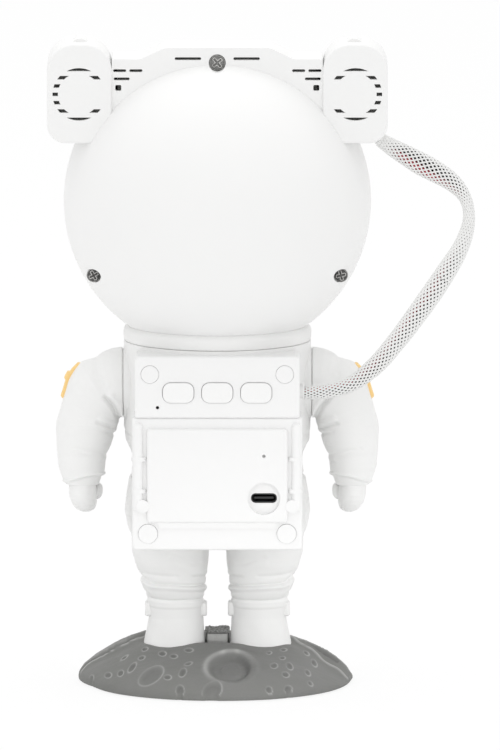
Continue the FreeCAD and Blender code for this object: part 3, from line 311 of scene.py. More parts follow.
nylon = moulded("gear_nylon", (0.78, 0.76, 0.69), 0.5, 0.00003)
black_plastic = moulded("black_plastic", (0.025, 0.025, 0.027), 0.5, 0.00003)
shut_off = moulded("visor_smoke", (0.012, 0.013, 0.016), 0.12, 0.000006, 0.2, 0.6)
lens_glass = clear("lens_glass", (0.96, 0.98, 1.0), 0.02, 0.000004)
ripple_glass = clear("ripple_glass", (0.93, 0.97, 1.0), 0.05, 0.0006)
pad_black = rubber()

# the CAD nodes that have each finish
CAD_FINISH = [
    (black_plastic, "base_plate tact_switches usb_socket optical_bracket lens_barrel"),
    (zinc, "base_screws helmet_screws"),
    (pad_black, "foot_pad"),
    (suit_white, "neck_collar right_leg left_leg torso_rear torso_front left_arm right_arm "
                 "left_glove right_glove"),
    (nickel, "seat_magnet"),
    (cover_white, "chest_pack pack_upper_cover pack_lower_cover pack_panel screw_covers "
                  "torso_gland ear_gland"),
    (steel, "pack_screws strike_plate bracket_screws disc_motor disc_spindle"),
    (board_green, "button_board usb_board head_board led_board"),
    (button_white, "left_button middle_button right_button"),
    (nylon, "left_peg right_peg disc_gear motor_pinion grating_gear"),
    (helmet_white, "helmet_rear helmet_front headband right_ear left_ear"),
    (shut_off, "visor"),
    (screen_cloth, "vent_mesh"),
    (alloy, "heatsink"),
    (lens_glass, "collimator projection_lens grating_disc"),
    (brass, "laser_module"),
    (ripple_glass, "ripple_disc"),
    (rock_grey, "moon_base"),
    (gold, "left_patch right_patch"),
    (sleeve_yarn, "control_cable")]
for material, node_names in CAD_FINISH:
    for node_name in node_names.split():
        mesh = nodes[node_name].data
        mesh.materials.clear()
        mesh.materials.append(material)


# ------------------------------------------------------------------ mesh helpers
class Shell:
    """Collects surfaces, in millimetres, that become one piece. Marks are values at points,
    such as where painted highlight or painted shade goes, that its finish reads."""

    def __init__(self):
        self.points = []
        self.faces = []
        self.marks = {}
        self.count = 0

    def add(self, points, faces, **marks):
        points = np.asarray(points, float).reshape(-1, 3)
        self.faces += [[i + self.count for i in face] for face in faces]
        self.points.append(points)
        for name in set(self.marks) | set(marks):
            before = self.marks.get(name, np.zeros(self.count))
            added = np.asarray(marks.get(name, np.zeros(len(points))), float).reshape(-1)
            self.marks[name] = np.concatenate([before, added])
        self.count += len(points)

    def rings(self, rings, low=True, high=True, **marks):
        """A skin over rings of points, closed round and capped at the ends asked for."""
        rings = np.asarray(rings, float)
        rows, around, _ = rings.shape
        faces = []
        for i in range(rows - 1):
            a, b = i * around, (i + 1) * around
            for j in range(around):
                k = (j + 1) % around
                faces.append((a + j, a + k, b + k, b + j))
        if low:
            faces.append(tuple(range(around - 1, -1, -1)))
        if high:
            faces.append(tuple(range((rows - 1) * around, rows * around)))
        self.add(rings, faces, **marks)

    def block(self, low, high, radius):
        """A box with rounded edges."""
        work = bmesh.new()
        bmesh.ops.create_cube(work, size=1.0)
        for vertex in work.verts:
            for axis in range(3):
                middle = (low[axis] + high[axis]) / 2
                vertex.co[axis] = middle + vertex.co[axis] * (high[axis] - low[axis])
        bmesh.ops.bevel(work, geom=work.edges[:], offset=radius, segments=4, profile=0.5,
                        affect="EDGES")
        self.take(work)

    def take(self, work):
        work.verts.ensure_lookup_table()
        points = [vertex.co[:] for vertex in work.verts]
        faces = [[vertex.index for vertex in face.verts] for face in work.faces]
        self.add(points, faces)
        work.free()

    def piece(self, name, body, materials, replaced=(), sharp=40.0):
        mesh = bpy.data.meshes.new(name)
        mesh.from_pydata((np.concatenate(self.points) * MM).tolist(), [], self.faces)
        for mark, values in self.marks.items():
            mesh.attributes.new(mark, "FLOAT", "POINT").data.foreach_set(
                "value", values.astype(np.float32))
        work = bmesh.new()
        work.from_mesh(mesh)
        bmesh.ops.recalc_face_normals(work, faces=work.faces[:])
        work.to_mesh(mesh)
        work.free()
        return place_piece(name, mesh, body, materials, replaced, sharp)


def place_piece(name, mesh, body, materials, replaced=(), sharp=40.0):
    """Puts a finished mesh in the scene, on its body."""
    mesh.shade_smooth()
    mesh.set_sharp_from_angle(angle=math.radians(sharp))
    if not mesh.materials:
        for material in materials:
            mesh.materials.append(material)
    made = bpy.data.objects.new(name, mesh)
    scene.collection.objects.link(made)
    if body:
        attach(made, body)
    if replaced:
        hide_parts(*replaced)
    return made


def smooth_step(x):
    x = np.clip(x, 0.0, 1.0)
    return x * x * (3 - 2 * x)


def bump(x, width):
    return np.exp(-(x / width) ** 2)


def circle(count):
    """Angles evenly round a full turn."""
    return np.linspace(0, 2 * math.pi, count, endpoint=False)


def joined(*axes):
    """Coordinates, arrays or single numbers, put together as points."""
    return np.stack(np.broadcast_arrays(*axes), axis=-1)


def soften(values, reach, width):
    """Values evened out along their row by a bell of the given width."""
    bell = bump(np.arange(-reach, reach + 1), width)
    return np.convolve(np.pad(values, reach, mode="edge"), bell / bell.sum(), mode="valid")


def side_name(side):
    return "right" if side > 0 else "left"


def lumps(points, size, seed):
    """Smooth pseudo-random values from -1 to 1, as sums of slanted waves."""
    random = np.random.default_rng(seed)
    total = np.zeros(points.shape[:-1])
    for _ in range(9):
        way = random.normal(size=3)
        way *= 2 * math.pi / (size * np.linalg.norm(way)) * random.uniform(0.7, 1.4)
        total += np.sin(points @ way + random.uniform(0, 2 * math.pi))
    return total / 4.5


def fold(x, z, line, depth, width, lip=0.5):
    """Relief of a sewn or pressed fold along a line in the XZ plane: a crease with a soft roll
    on the side to the left of the line's direction."""
    line = np.asarray(line, float)
    best = np.full(x.shape, 1e9)
    side = np.zeros(x.shape)
    place = np.zeros(x.shape)
    total = 0.0
    for a, b in zip(line[:-1], line[1:]):
        run = b - a
        length = np.hypot(*run)
        t = np.clip(((x - a[0]) * run[0] + (z - a[1]) * run[1]) / length ** 2, 0, 1)
        dx, dz = x - a[0] - t * run[0], z - a[1] - t * run[1]
        away = np.hypot(dx, dz)
        cross = (run[0] * dz - run[1] * dx) / length
        closer = away < best
        best = np.where(closer, away, best)
        side = np.where(closer, np.sign(cross), side)
        place = np.where(closer, total + t * length, place)
        total += length
    signed = best * side
    ends = smooth_step(np.minimum(place, total - place) / (2.5 * width))
    return ends * (lip * depth * bump(signed - 2.4 * width, 1.6 * width)
                   - depth * bump(best, width))


# ------------------------------------------------------------------ camera and studio
def aim_camera():
    """Long lens on the rear, eight degrees above the level, aimed at the figure's middle."""
    away, field_height = 7.5, 0.26475
    rise = math.radians(8.0)
    aim = Vector((0.0115, 0.0, 0.1088))
    data = bpy.data.cameras.new("studio_camera")
    data.lens = data.sensor_width * away / field_height
    camera = bpy.data.objects.new("studio_camera", data)
    camera.location = aim + Vector((0, -away * math.cos(rise), away * math.sin(rise)))
    camera.rotation_euler = (math.pi / 2 - rise, 0, 0)
    scene.collection.objects.link(camera)
    scene.camera = camera


def hang_light(name, kind, place, aim, strength, **settings):
    """A studio lamp of the given kind, turned to its aim."""
    data = bpy.data.lights.new(name, kind)
    for setting, value in settings.items():
        setattr(data, setting, value)
    data.energy = strength
    lamp = bpy.data.objects.new(name, data)
    lamp.location = place
    lamp.rotation_euler = (Vector(aim) - Vector(place)).to_track_quat("-Z", "Y").to_euler()
    scene.collection.objects.link(lamp)


def light_world():
    """Even studio light; the lens, mirrors and glass see a white room."""
    world = bpy.data.worlds.new("studio")
    scene.world = world
    world.use_nodes = True
    tree = world.node_tree
    room = tree.nodes["Background"]
    room.inputs["Strength"].default_value = 0.95
    seen = tree.nodes.new("ShaderNodeBackground")
    seen.inputs["Color"].default_value = (1, 1, 1, 1)
    room.inputs["Color"].default_value = (1, 1, 1, 1)
    path = tree.nodes.new("ShaderNodeLightPath")
    either = tree.nodes.new("ShaderNodeMath")
    either.operation = "MAXIMUM"
    tree.links.new(path.outputs["Is Camera Ray"], either.inputs[0])
    tree.links.new(path.outputs["Is Transmission Ray"], either.inputs[1])
    mix = tree.nodes.new("ShaderNodeMixShader")
    tree.links.new(either.outputs[0], mix.inputs[0])
    tree.links.new(room.outputs[0], mix.inputs[1])
    tree.links.new(seen.outputs[0], mix.inputs[2])
    tree.links.new(mix.outputs[0], tree.nodes["World Output"].inputs["Surface"])


def lay_floor():
    """A wide pale floor that keeps the object's shadow and reads as white."""
    f = Finish("studio_floor", (0.93, 0.93, 0.93), 0.9, Specular_IOR_Level=0.2)
    f.paint(f.blend(f.noise(0.5), (0.925, 0.925, 0.925), (0.935, 0.935, 0.935)))
    path = f.node("LightPath")
    glow = f.node("Emission", {}, {"Color": (1, 1, 1, 1), "Strength": 1.0})
    mixed = f.node("MixShader", {}, {0: path * 0.86, 1: Reading(f, f.shader.outputs[0]), 2: glow})
    f.tree.links.new(mixed.socket, f.tree.nodes["Material Output"].inputs["Surface"])
    half = 7.0
    mesh = bpy.data.meshes.new("floor")
    mesh.from_pydata([(-half, -half, 0), (half, -half, 0), (half, half, 0), (-half, half, 0)],
                     [], [(0, 1, 2, 3)])
    mesh.materials.append(f.material)
    floor = bpy.data.objects.new("floor", mesh)
    scene.collection.objects.link(floor)


scene.view_settings.view_transform = "Standard"
aim_camera()
light_world()
lay_floor()
hang_light("front_light", "AREA", (-0.25, -1.9, 1.0), (0, 0, 0.12), 3.1, shape="DISK", size=2.0)
hang_light("top_light", "AREA", (0.0, 0.25, 1.8), (0, 0, 0.12), 8.0, shape="DISK", size=1.8)
# a soft spot that lifts the shade under the backpack
hang_light("leg_light", "SPOT", (0.55, -1.5, 0.06), (0.0, 0.0, -0.012), 34.0,
           spot_size=math.radians(6.4), spot_blend=1.0, shadow_soft_size=0.08)


# ------------------------------------------------------------------ braided cable
ROUTE = [(57.7, -9.2, 194.2), (66.0, -10.3, 188.3), (75.4, -11.6, 183.3), (83.0, -12.8, 178.7),
         (87.9, -13.9, 172.3), (89.6, -15.2, 164.2), (86.6, -16.8, 154.2), (80.8, -18.5, 143.5),
         (72.8, -20.4, 132.2), (64.8, -22.4, 121.6), (54.6, -24.9, 112.3), (43.0, -27.0, 107.2),
         (31.4, -27.0, 107.2)]
CARRIERS = 14             # ribbons of yarn lying each way round
TURN = 30.0               # length in which a ribbon goes once round
RIBBON = 0.28             # a ribbon's thickness to its width
WEAVE = 0.1               # how far a ribbon rises and falls as it crosses the others
WIRE_INSET = 1.1          # what a wire's middle keeps clear of the sleeve's half-width
# distance along, width of a ribbon, radii of the black and the red wire
OPENNESS = [(0, 0.92, 0.9, 0.7), (5, 0.72, 1.1, 0.9), (9, 0.55, 1.2, 1.1), (34, 0.59, 1.2, 1.1),
            (40, 0.70, 1.1, 0.9), (50, 0.76, 0.9, 0.8), (62, 0.73, 1.0, 0.95),
            (100, 0.69, 1.15, 1.05), (112, 0.60, 1.25, 1.05), (138, 0.52, 1.25, 1.0)]
# the empty sleeve sags flat and off the route: distance along, shift, half-width, half-depth
SLEEVE = [(0, 0.6, 2.3, 1.6), (2, 0.5, 2.6, 1.6), (7, 0.2, 3.3, 1.5), (12, -0.2, 3.7, 1.5),
          (17, -0.1, 4.1, 1.5), (22, -0.3, 3.9, 1.6), (27, -0.35, 3.5, 1.7), (32, -0.5, 2.9, 1.9),
          (37, -0.5, 2.0, 2.1), (42, 0.2, 1.95, 2.1), (47, 0.9, 2.3, 2.0), (52, 1.25, 2.65, 1.9),
          (57, 1.6, 3.0, 1.8), (61, 2.1, 3.35, 1.7), (66, 2.45, 3.5, 1.6), (71, 2.6, 3.65, 1.6),
          (81, 2.65, 3.65, 1.6), (91, 2.65, 3.45, 1.6), (96, 2.6, 3.35, 1.7), (101, 2.1, 3.3, 1.7),
          (106, 1.7, 3.25, 1.7), (111, 1.2, 3.1, 1.8), (116, 0.5, 2.9, 1.8), (121, -0.2, 2.8, 1.9),
          (126, -0.6, 2.65, 1.9), (131, -0.8, 2.45, 2.0), (135, -0.8, 2.3, 2.0)]


def plain_mesh(made):
    """Links an object and gives the mesh that it has once it is evaluated."""
    scene.collection.objects.link(made)
    bpy.context.view_layer.update()
    return bpy.data.meshes.new_from_object(made.evaluated_get(
        bpy.context.evaluated_depsgraph_get()))


def route_line():
    """Evenly spaced points, in millimetres, along the route's smooth spline."""
    data = bpy.data.curves.new("cable_route", "CURVE")
    data.dimensions = "3D"
    data.resolution_u = 32
    spline = data.splines.new("NURBS")
    spline.points.add(len(ROUTE) - 1)
    for point, (x, y, z) in zip(spline.points, ROUTE):
        point.co = (x * MM, y * MM, z * MM, 1.0)
    spline.order_u = 3
    spline.use_endpoint_u = True
    line = bpy.data.objects.new("cable_route", data)
    mesh = plain_mesh(line)
    raw = np.array([vertex.co[:] for vertex in mesh.vertices]) / MM
    bpy.data.objects.remove(line)
    bpy.data.curves.remove(data)
    bpy.data.meshes.remove(mesh)
    run = np.concatenate([[0], np.cumsum(np.linalg.norm(np.diff(raw, axis=0), axis=1))])
    steps = np.linspace(0, run[-1], int(run[-1] / 0.5) + 1)
    return steps, joined(*[np.interp(steps, run, column) for column in raw.T])


def sleeve_shape(steps, line):
    """The sleeve's own middle line, shifted off the route, with its half-width and half-depth."""
    along, *columns = np.array(SLEEVE).T
    shift, wide, deep = [soften(np.interp(steps, along, column), 12, 6.0) for column in columns]
    tangent = np.gradient(line, axis=0)
    across = np.cross(tangent, (0, 1, 0))
    across /= np.linalg.norm(across, axis=1)[:, None]
    return line - across * shift[:, None], wide, deep


class Builder:
    """A geometry tree with the named inputs; a value may be a socket, a number or a vector."""

    def __init__(self, name, inputs):
        self.tree = bpy.data.node_groups.new(name, "GeometryNodeTree")
        for label, kind in {"Geometry": "Geometry", **inputs}.items():
            self.tree.interface.new_socket(label, in_out="INPUT", socket_type="NodeSocket" + kind)
        self.tree.interface.new_socket("Geometry", in_out="OUTPUT",
                                       socket_type="NodeSocketGeometry")
        self.source = self.tree.nodes.new("NodeGroupInput")
        self.target = self.tree.nodes.new("NodeGroupOutput")

    def given(self, label):
        return self.source.outputs[label]

    def add(self, kind, settings=None, sockets=None, output=0):
        node = self.tree.nodes.new(kind)
        for setting, value in (settings or {}).items():
            setattr(node, setting, value)
        for socket, value in (sockets or {}).items():
            if isinstance(value, bpy.types.NodeSocket):
                self.tree.links.new(value, node.inputs[socket])
            else:
                node.inputs[socket].default_value = value
        return node.outputs[output]

    def sum(self, operation, first, second=0.0):
        return self.add("ShaderNodeMath", {"operation": operation}, {0: first, 1: second})

    def vector(self, operation, first, second=(0, 0, 0)):
        sockets = {0: first}
        sockets["Scale" if operation == "SCALE" else 1] = second
        return self.add("ShaderNodeVectorMath", {"operation": operation}, sockets)

    def named(self, label, kind="FLOAT"):
        return self.add("GeometryNodeInputNamedAttribute", {"data_type": kind}, {"Name": label})

    def finish(self, geometry, material):
        whole = self.add("GeometryNodeRealizeInstances", {}, {0: geometry})
        painted = self.add("GeometryNodeSetMaterial", {},
                           {"Geometry": whole, "Material": material})
        self.tree.links.new(painted, self.target.inputs[0])


def braid_tree():
    """Strands wound both ways round a line, passing over and under each other.
    The line's points carry how wide and how deep the sleeve is there."""
    b = Builder("braid", {"Strands": "Int", "Turn length": "Float", "Thickness to width": "Float",
                          "Weave depth": "Float", "Start": "Float", "Material": "Material"})
    line = b.add("GeometryNodeMeshToCurve", {}, {0: b.given("Geometry")})
    strands = b.tree.nodes.new("GeometryNodeJoinGeometry")
    for hand in (1.0, -1.0):
        copies = b.add("GeometryNodeDuplicateElements", {"domain": "SPLINE"},
                       {"Geometry": line, "Amount": b.given("Strands")})
        number = copies.node.outputs["Duplicate Index"]
        length = b.add("GeometryNodeSplineParameter", {}, {}, "Length")
        length = b.sum("ADD", length, b.given("Start"))
        tangent = b.add("GeometryNodeInputTangent")
        across = b.vector("NORMALIZE", b.vector("CROSS_PRODUCT", tangent, (0, 1, 0)))
        up = b.vector("CROSS_PRODUCT", across, tangent)
        wide, deep = b.named("half_width"), b.named("half_depth")
        turns = b.sum("DIVIDE", length, b.given("Turn length"))
        phase = b.sum("DIVIDE", number, b.given("Strands"))
        phase = b.sum("ADD", phase, b.sum("MULTIPLY", turns, hand))
        angle = b.sum("MULTIPLY", phase, 2 * math.pi)
        wave = b.sum("MULTIPLY", b.sum("MULTIPLY", turns, b.given("Strands")), 2 * math.pi)
        lift = b.sum("MULTIPLY", b.sum("COSINE", wave),
                     b.sum("MULTIPLY", b.given("Weave depth"), hand))
        side = b.vector("SCALE", across, b.sum("COSINE", angle))
        top = b.vector("SCALE", up, b.sum("SINE", angle))
        out = b.vector("ADD", b.vector("SCALE", side, b.sum("ADD", wide, lift)),
                       b.vector("SCALE", top, b.sum("ADD", deep, lift)))
        facing = b.vector("NORMALIZE", b.vector("ADD", b.vector("SCALE", side, deep),
                                                b.vector("SCALE", top, wide)))
        kept = b.add("GeometryNodeStoreNamedAttribute",
                     {"data_type": "FLOAT_VECTOR", "domain": "POINT"},
                     {"Geometry": copies, "Name": "facing", "Value": facing})
        moved = b.add("GeometryNodeSetPosition", {}, {"Geometry": kept, "Offset": out})
        turned = b.add("GeometryNodeSetCurveNormal", {"mode": "FREE"},
                       {"Curve": moved, "Normal": b.named("facing", "FLOAT_VECTOR")})
        flat = b.add("GeometryNodeCurvePrimitiveQuadrilateral", {"mode": "RECTANGLE"},
                     {"Width": b.given("Thickness to width"), "Height": 1.0})
        soft = b.add("GeometryNodeFilletCurve", {"mode": "POLY"},
                     {"Curve": flat, "Count": 1, "Limit Radius": True,
                      "Radius": b.sum("MULTIPLY", b.given("Thickness to width"), 0.45)})
        strand = b.add("GeometryNodeCurveToMesh", {},
                       {"Curve": turned, "Profile Curve": soft, "Scale": b.named("ribbon"),
                        "Fill Caps": True})
        b.tree.links.new(strand, strands.inputs[0])
    smooth = b.add("GeometryNodeSetShadeSmooth", {}, {"Geometry": strands.outputs[0]})
    b.finish(smooth, b.given("Material"))
    return b.tree


def run_tree(tree, host_mesh, values):
    """The plain mesh that a geometry tree makes from a host mesh and its named inputs."""
    host = bpy.data.objects.new("host", host_mesh)
    modifier = host.modifiers.new("build", "NODES")
    modifier.node_group = tree
    for item in tree.interface.items_tree:
        if item.item_type == "SOCKET" and item.in_out == "INPUT" and item.name in values:
            modifier[item.identifier] = values[item.name]
    mesh = plain_mesh(host)
    host.modifiers.remove(modifier)
    bpy.data.objects.remove(host)
    return mesh


def line_mesh(points, **marks):
    mesh = bpy.data.meshes.new("line")
    mesh.from_pydata((points * MM).tolist(), [(i, i + 1) for i in range(len(points) - 1)], [])
    for mark, values in marks.items():
        mesh.attributes.new(mark, "FLOAT", "POINT").data.foreach_set(
            "value", (values * MM).astype(np.float32))
    return mesh


def wire(shell, line, shift, radius):
    """A flattened wire along line, moved sideways by shift."""
    tangent = np.gradient(line, axis=0)
    tangent /= np.linalg.norm(tangent, axis=1)[:, None]
    across = np.cross(tangent, (0, 1, 0))
    across /= np.linalg.norm(across, axis=1)[:, None]
    up = np.cross(across, tangent)
    middle = line + across * shift[:, None]
    angle = circle(10)
    shell.rings(middle[:, None] + radius[:, None, None] * (
        1.35 * np.cos(angle)[None, :, None] * across[:, None]
        + np.sin(angle)[None, :, None] * up[:, None]))


def lay_cable():
    """Sleeve and wires in two lengths, cut halfway along the route."""
    steps, route = route_line()
    # the sleeve's tail runs on a little way into the backpack's gland
    tail = np.array([0.5, 1.0, 1.5])
    route = np.concatenate([route, route[-1] + np.outer(tail, (-1, 0, 0))])
    steps = np.concatenate([steps, steps[-1] + tail])
    line, wide, deep = sleeve_shape(steps, route)
    tree = braid_tree()
    halfway = len(steps) // 2
    lengths = {"upper": (slice(0, halfway + 1), "swivel", "head"),
               "lower": (slice(halfway, len(steps)), "figure", "swivel")}
    along, *columns = np.array(OPENNESS).T
    ribbon, black, red = [np.interp(steps, along, column) for column in columns]
    for label, (part, first, second) in lengths.items():
        host = line_mesh(line[part], half_width=wide[part] - WEAVE,
                         half_depth=deep[part] - WEAVE, ribbon=ribbon[part])
        mesh = run_tree(tree, host, {
            "Strands": CARRIERS, "Turn length": TURN * MM, "Thickness to width": RIBBON,
            "Weave depth": WEAVE * MM, "Start": float(steps[part][0]) * MM,
            "Material": sleeve_yarn})
        sleeve = place_piece("cable_sleeve_" + label, mesh, None, [sleeve_yarn],
                             ["control_cable"], 60.0)
        cores = []
        for colour, jacket, radius, side in (("black", black_wire, black, 0.48),
                                             ("red", red_wire, red, -0.52)):
            shell = Shell()
            place = side + 0.16 * np.sin(steps / 5.3)
            wire(shell, line[part], (place * (wide - WIRE_INSET))[part], radius[part])
            cores.append(shell.piece("%s_wire_%s" % (colour, label), None, [jacket],
                                     ["control_cable"]))
        start, stop = line[part][-1], line[part][0]
        for made in [sleeve] + cores:
            start * MM
            stop * MM
            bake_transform(made)
        upper = label == "upper"
        (stop if upper else start) * MM
        (line[part] if upper else line[part][::-1]) * MM


def make_gland():
    """Slim oval bush that leads the sleeve into the backpack's side."""
    angle = circle(96)
    middle_y, middle_z = -27.0, 107.0
    rings = [joined(x, middle_y + deep * np.sin(angle), middle_z + high * np.cos(angle))
             for x, high, deep in ((27.2, 0.3, 0.3), (27.2, 2.5, 2.5), (30.0, 2.5, 2.5),
                                   (30.02, 3.0, 2.75), (30.35, 3.02, 2.78), (30.55, 2.9, 2.65),
                                   (30.6, 2.7, 2.45), (30.5, 2.55, 2.3), (28.6, 2.5, 2.25),
                                   (28.6, 0.3, 0.3))]
    shell = Shell()
    shell.rings(rings)
    shell.piece("backpack_gland", "figure", [suit_white], ["torso_gland"])


lay_cable()
make_gland()


# ------------------------------------------------------------------ rock base
# heights of the rock's skin before its rim is rounded off: x, y, z
ROCK_HEIGHTS = [
    (0, 0, 12.6), (0, -5, 13.2), (0, -12, 14.9), (-5, -12, 15.2), (-11, -12, 13.9),
    (-17, -12, 12.7), (-22, -11.5, 13.0), (-26.5, -9, 13.7), (5, -12, 15.2), (10, -12, 13.8),
    (17, -12, 13.0), (22, -11.5, 13.1), (26.2, -9, 13.7), (0, -20, 12.8), (0, -30, 11.4),
    (0, -40, 9.6), (0, -50, 7.6), (-20, -42, 8.6), (20, -42, 8.6), (-25, -25, 10.2),
    (25, -25, 10.0), (-35, -28, 8.0), (35, -30, 7.0), (-40, -12, 8.4), (38, -17, 5.6),
    (-47, -20, 6.4), (46, -16, 2.6), (-26, 5, 15.2), (-30.9, 3.7, 13.6), (-36.2, 2.3, 10.4),
    (-41.5, 1, 8.6), (-47, 0, 7.4), (-25.6, 8.5, 18.0), (-30.9, 7, 16.4), (-36.2, 5.6, 13.7),
    (-41, 4.4, 12.0), (-46, 3, 10.6), (26.3, 5, 13.9), (34.8, -2.5, 9.2), (39.7, -6.6, 6.2),
    (45, -11, 4.4), (25.8, 12, 16.6), (32.3, 8.5, 15.0), (39.7, 4.3, 12.0), (45, 1.4, 10.4),
    (30, 5.5, 14.0), (36.5, 2.5, 11.0), (-20, 30, 13.5), (20, 30, 13.0), (0, 22, 14.0),
    (0, 48, 8.5), (-40, 28, 8.5), (40, 26, 8.5)]
# how far the rock reaches at each compass angle, counted from the right-hand side
ROCK_REACH = [(-180, 49.0), (-155, 47.9), (-138, 50.0), (-110, 51.4), (-90, 51.7), (-70, 51.9),
              (-45, 50.4), (-20, 48.0), (-8, 47.2), (0, 47.5), (45, 49.0), (90, 49.6), (135, 49.3)]
# how far a height and a depth show as height, seen from eight degrees above
SEEN_UP, SEEN_BACK = 0.99, 0.139
# highest that the rock is seen from behind and eight degrees above: across, up
SKYLINE = [(-50, 1.0), (-49.2, 2.8), (-47.3, 5.6), (-42.9, 9.1), (-36.5, 12.9), (-30.2, 15.7),
           (-25.7, 17.2), (-20, 17.0), (-8, 15.2), (8, 15.2), (20, 15.6), (25.8, 15.4), (31, 13.7),
           (35.5, 11.65), (38.9, 10.0), (42.3, 7.7), (45.7, 4.6), (47.5, 2.0), (49, 0.5)]
# sharp ledge down the left shoulder, seen in the same way: across, up
LEFT_LEDGE = [(-49.5, 1.6), (-48.9, 2.1), (-46.1, 5.3), (-39.7, 8.8), (-33.4, 12.2), (-28.9, 14.3),
              (-26.1, 15.2), (-24, 15.6)]
# sharp crests and grooves down the right shoulder, the crests with painted highlight and the
# grooves with painted shade: height, width, points in plan
ROCK_LINES = [
    (0.60, 0.6, [(25, 6), (30, 1.6), (34.8, -2.5), (39.7, -6.8), (45, -11), (47, -12.5)]),
    (-0.90, 0.9, [(28.5, 7.5), (33, 3.6), (37, 0.8), (42, -3.4)]),
    (0.35, 0.5, [(27, 9.6), (33, 6.2), (38, 3.6), (43, 0.4), (46, -3)]),
    (-0.60, 0.5, [(34, 7.6), (38, 5.0), (43, 2.0)])]
# craters as seen from behind and eight degrees above: across, up, half-length, half-width, turn
CRATERS = [
    (-23.3, 1.8, 4.9, 2.5, 33), (-13.1, -3.2, 1.9, 1.45, 90), (-12.2, 3.0, 1.6, 1.1, 50),
    (-17.5, 1.4, 1.25, 0.8, 0), (-10.2, 6.0, 1.2, 0.5, 15), (-10.1, 10.6, 1.4, 0.65, 0),
    (-15.4, 8.5, 1.2, 0.65, 0), (-19.4, 9.4, 1.25, 0.8, 0), (-26.7, 7.9, 1.1, 0.6, 20),
    (-30.0, 4.6, 1.95, 0.85, 50), (-32.8, 7.9, 1.2, 0.35, 35), (-34.1, 2.6, 1.15, 0.85, 45),
    (-38.5, 1.9, 1.2, 0.9, 10), (-44.5, 0.7, 1.1, 0.75, 60), (-25.6, 10.9, 1.0, 0.6, 20),
    (19.9, 5.3, 1.2, 0.85, 0), (25.4, 5.1, 1.35, 0.9, -45), (24.0, 2.3, 1.2, 0.85, -20),
    (22.9, 7.9, 0.9, 0.5, 0), (18.2, 9.7, 0.8, 0.45, 0), (23.3, 10.7, 1.0, 0.45, 0),
    (31.8, 2.8, 1.15, 0.7, -50), (32.7, -0.9, 0.95, 0.6, -45), (34.1, 6.0, 1.35, 0.75, -55),
    (31.4, 9.4, 1.0, 0.5, -35), (24.9, -2.8, 1.35, 1.3, 0), (18.2, -3.0, 1.3, 1.05, -60),
    (11.6, -6.0, 1.15, 1.0, 0), (-1.8, -3.2, 3.7, 2.8, 35)]


def rock_reach(angle):
    """How far the rock's foot reaches in each direction."""
    degrees = (np.degrees(angle) + 180) % 360 - 180
    places = [a for a, _ in ROCK_REACH] + [180]
    return np.interp(degrees, places, [r for _, r in ROCK_REACH] + [ROCK_REACH[0][1]])


def thin_plate(places, x, y):
    """A smooth sheet through the given heights."""
    places = np.asarray(places, float)

    def stiffness(square):
        return square * np.log(square + 1e-9)

    count = len(places)
    gap = ((places[:, None, :2] - places[None, :, :2]) ** 2).sum(-1)
    system = np.zeros((count + 3, count + 3))
    system[:count, :count] = stiffness(gap) + 40.0 * np.eye(count)
    system[:count, count] = system[count, :count] = 1
    system[:count, count + 1:] = places[:, :2]
    system[count + 1:, :count] = places[:, :2].T
    weights = np.linalg.solve(system, np.concatenate([places[:, 2], [0, 0, 0]]))
    z = weights[count] + weights[count + 1] * x + weights[count + 2] * y
    for (px, py, _), weight in zip(places, weights):
        z = z + weight * stiffness((x - px) ** 2 + (y - py) ** 2)
    return z


def gap_to(x, y, line):
    """Distance from each point to a broken line in plan."""
    best = np.full(np.shape(x), 1e9)
    for a, b in zip(line[:-1], line[1:]):
        run = (b[0] - a[0], b[1] - a[1])
        square = run[0] ** 2 + run[1] ** 2
        t = np.clip(((x - a[0]) * run[0] + (y - a[1]) * run[1]) / square, 0, 1)
        best = np.minimum(best, np.hypot(x - a[0] - t * run[0], y - a[1] - t * run[1]))
    return best


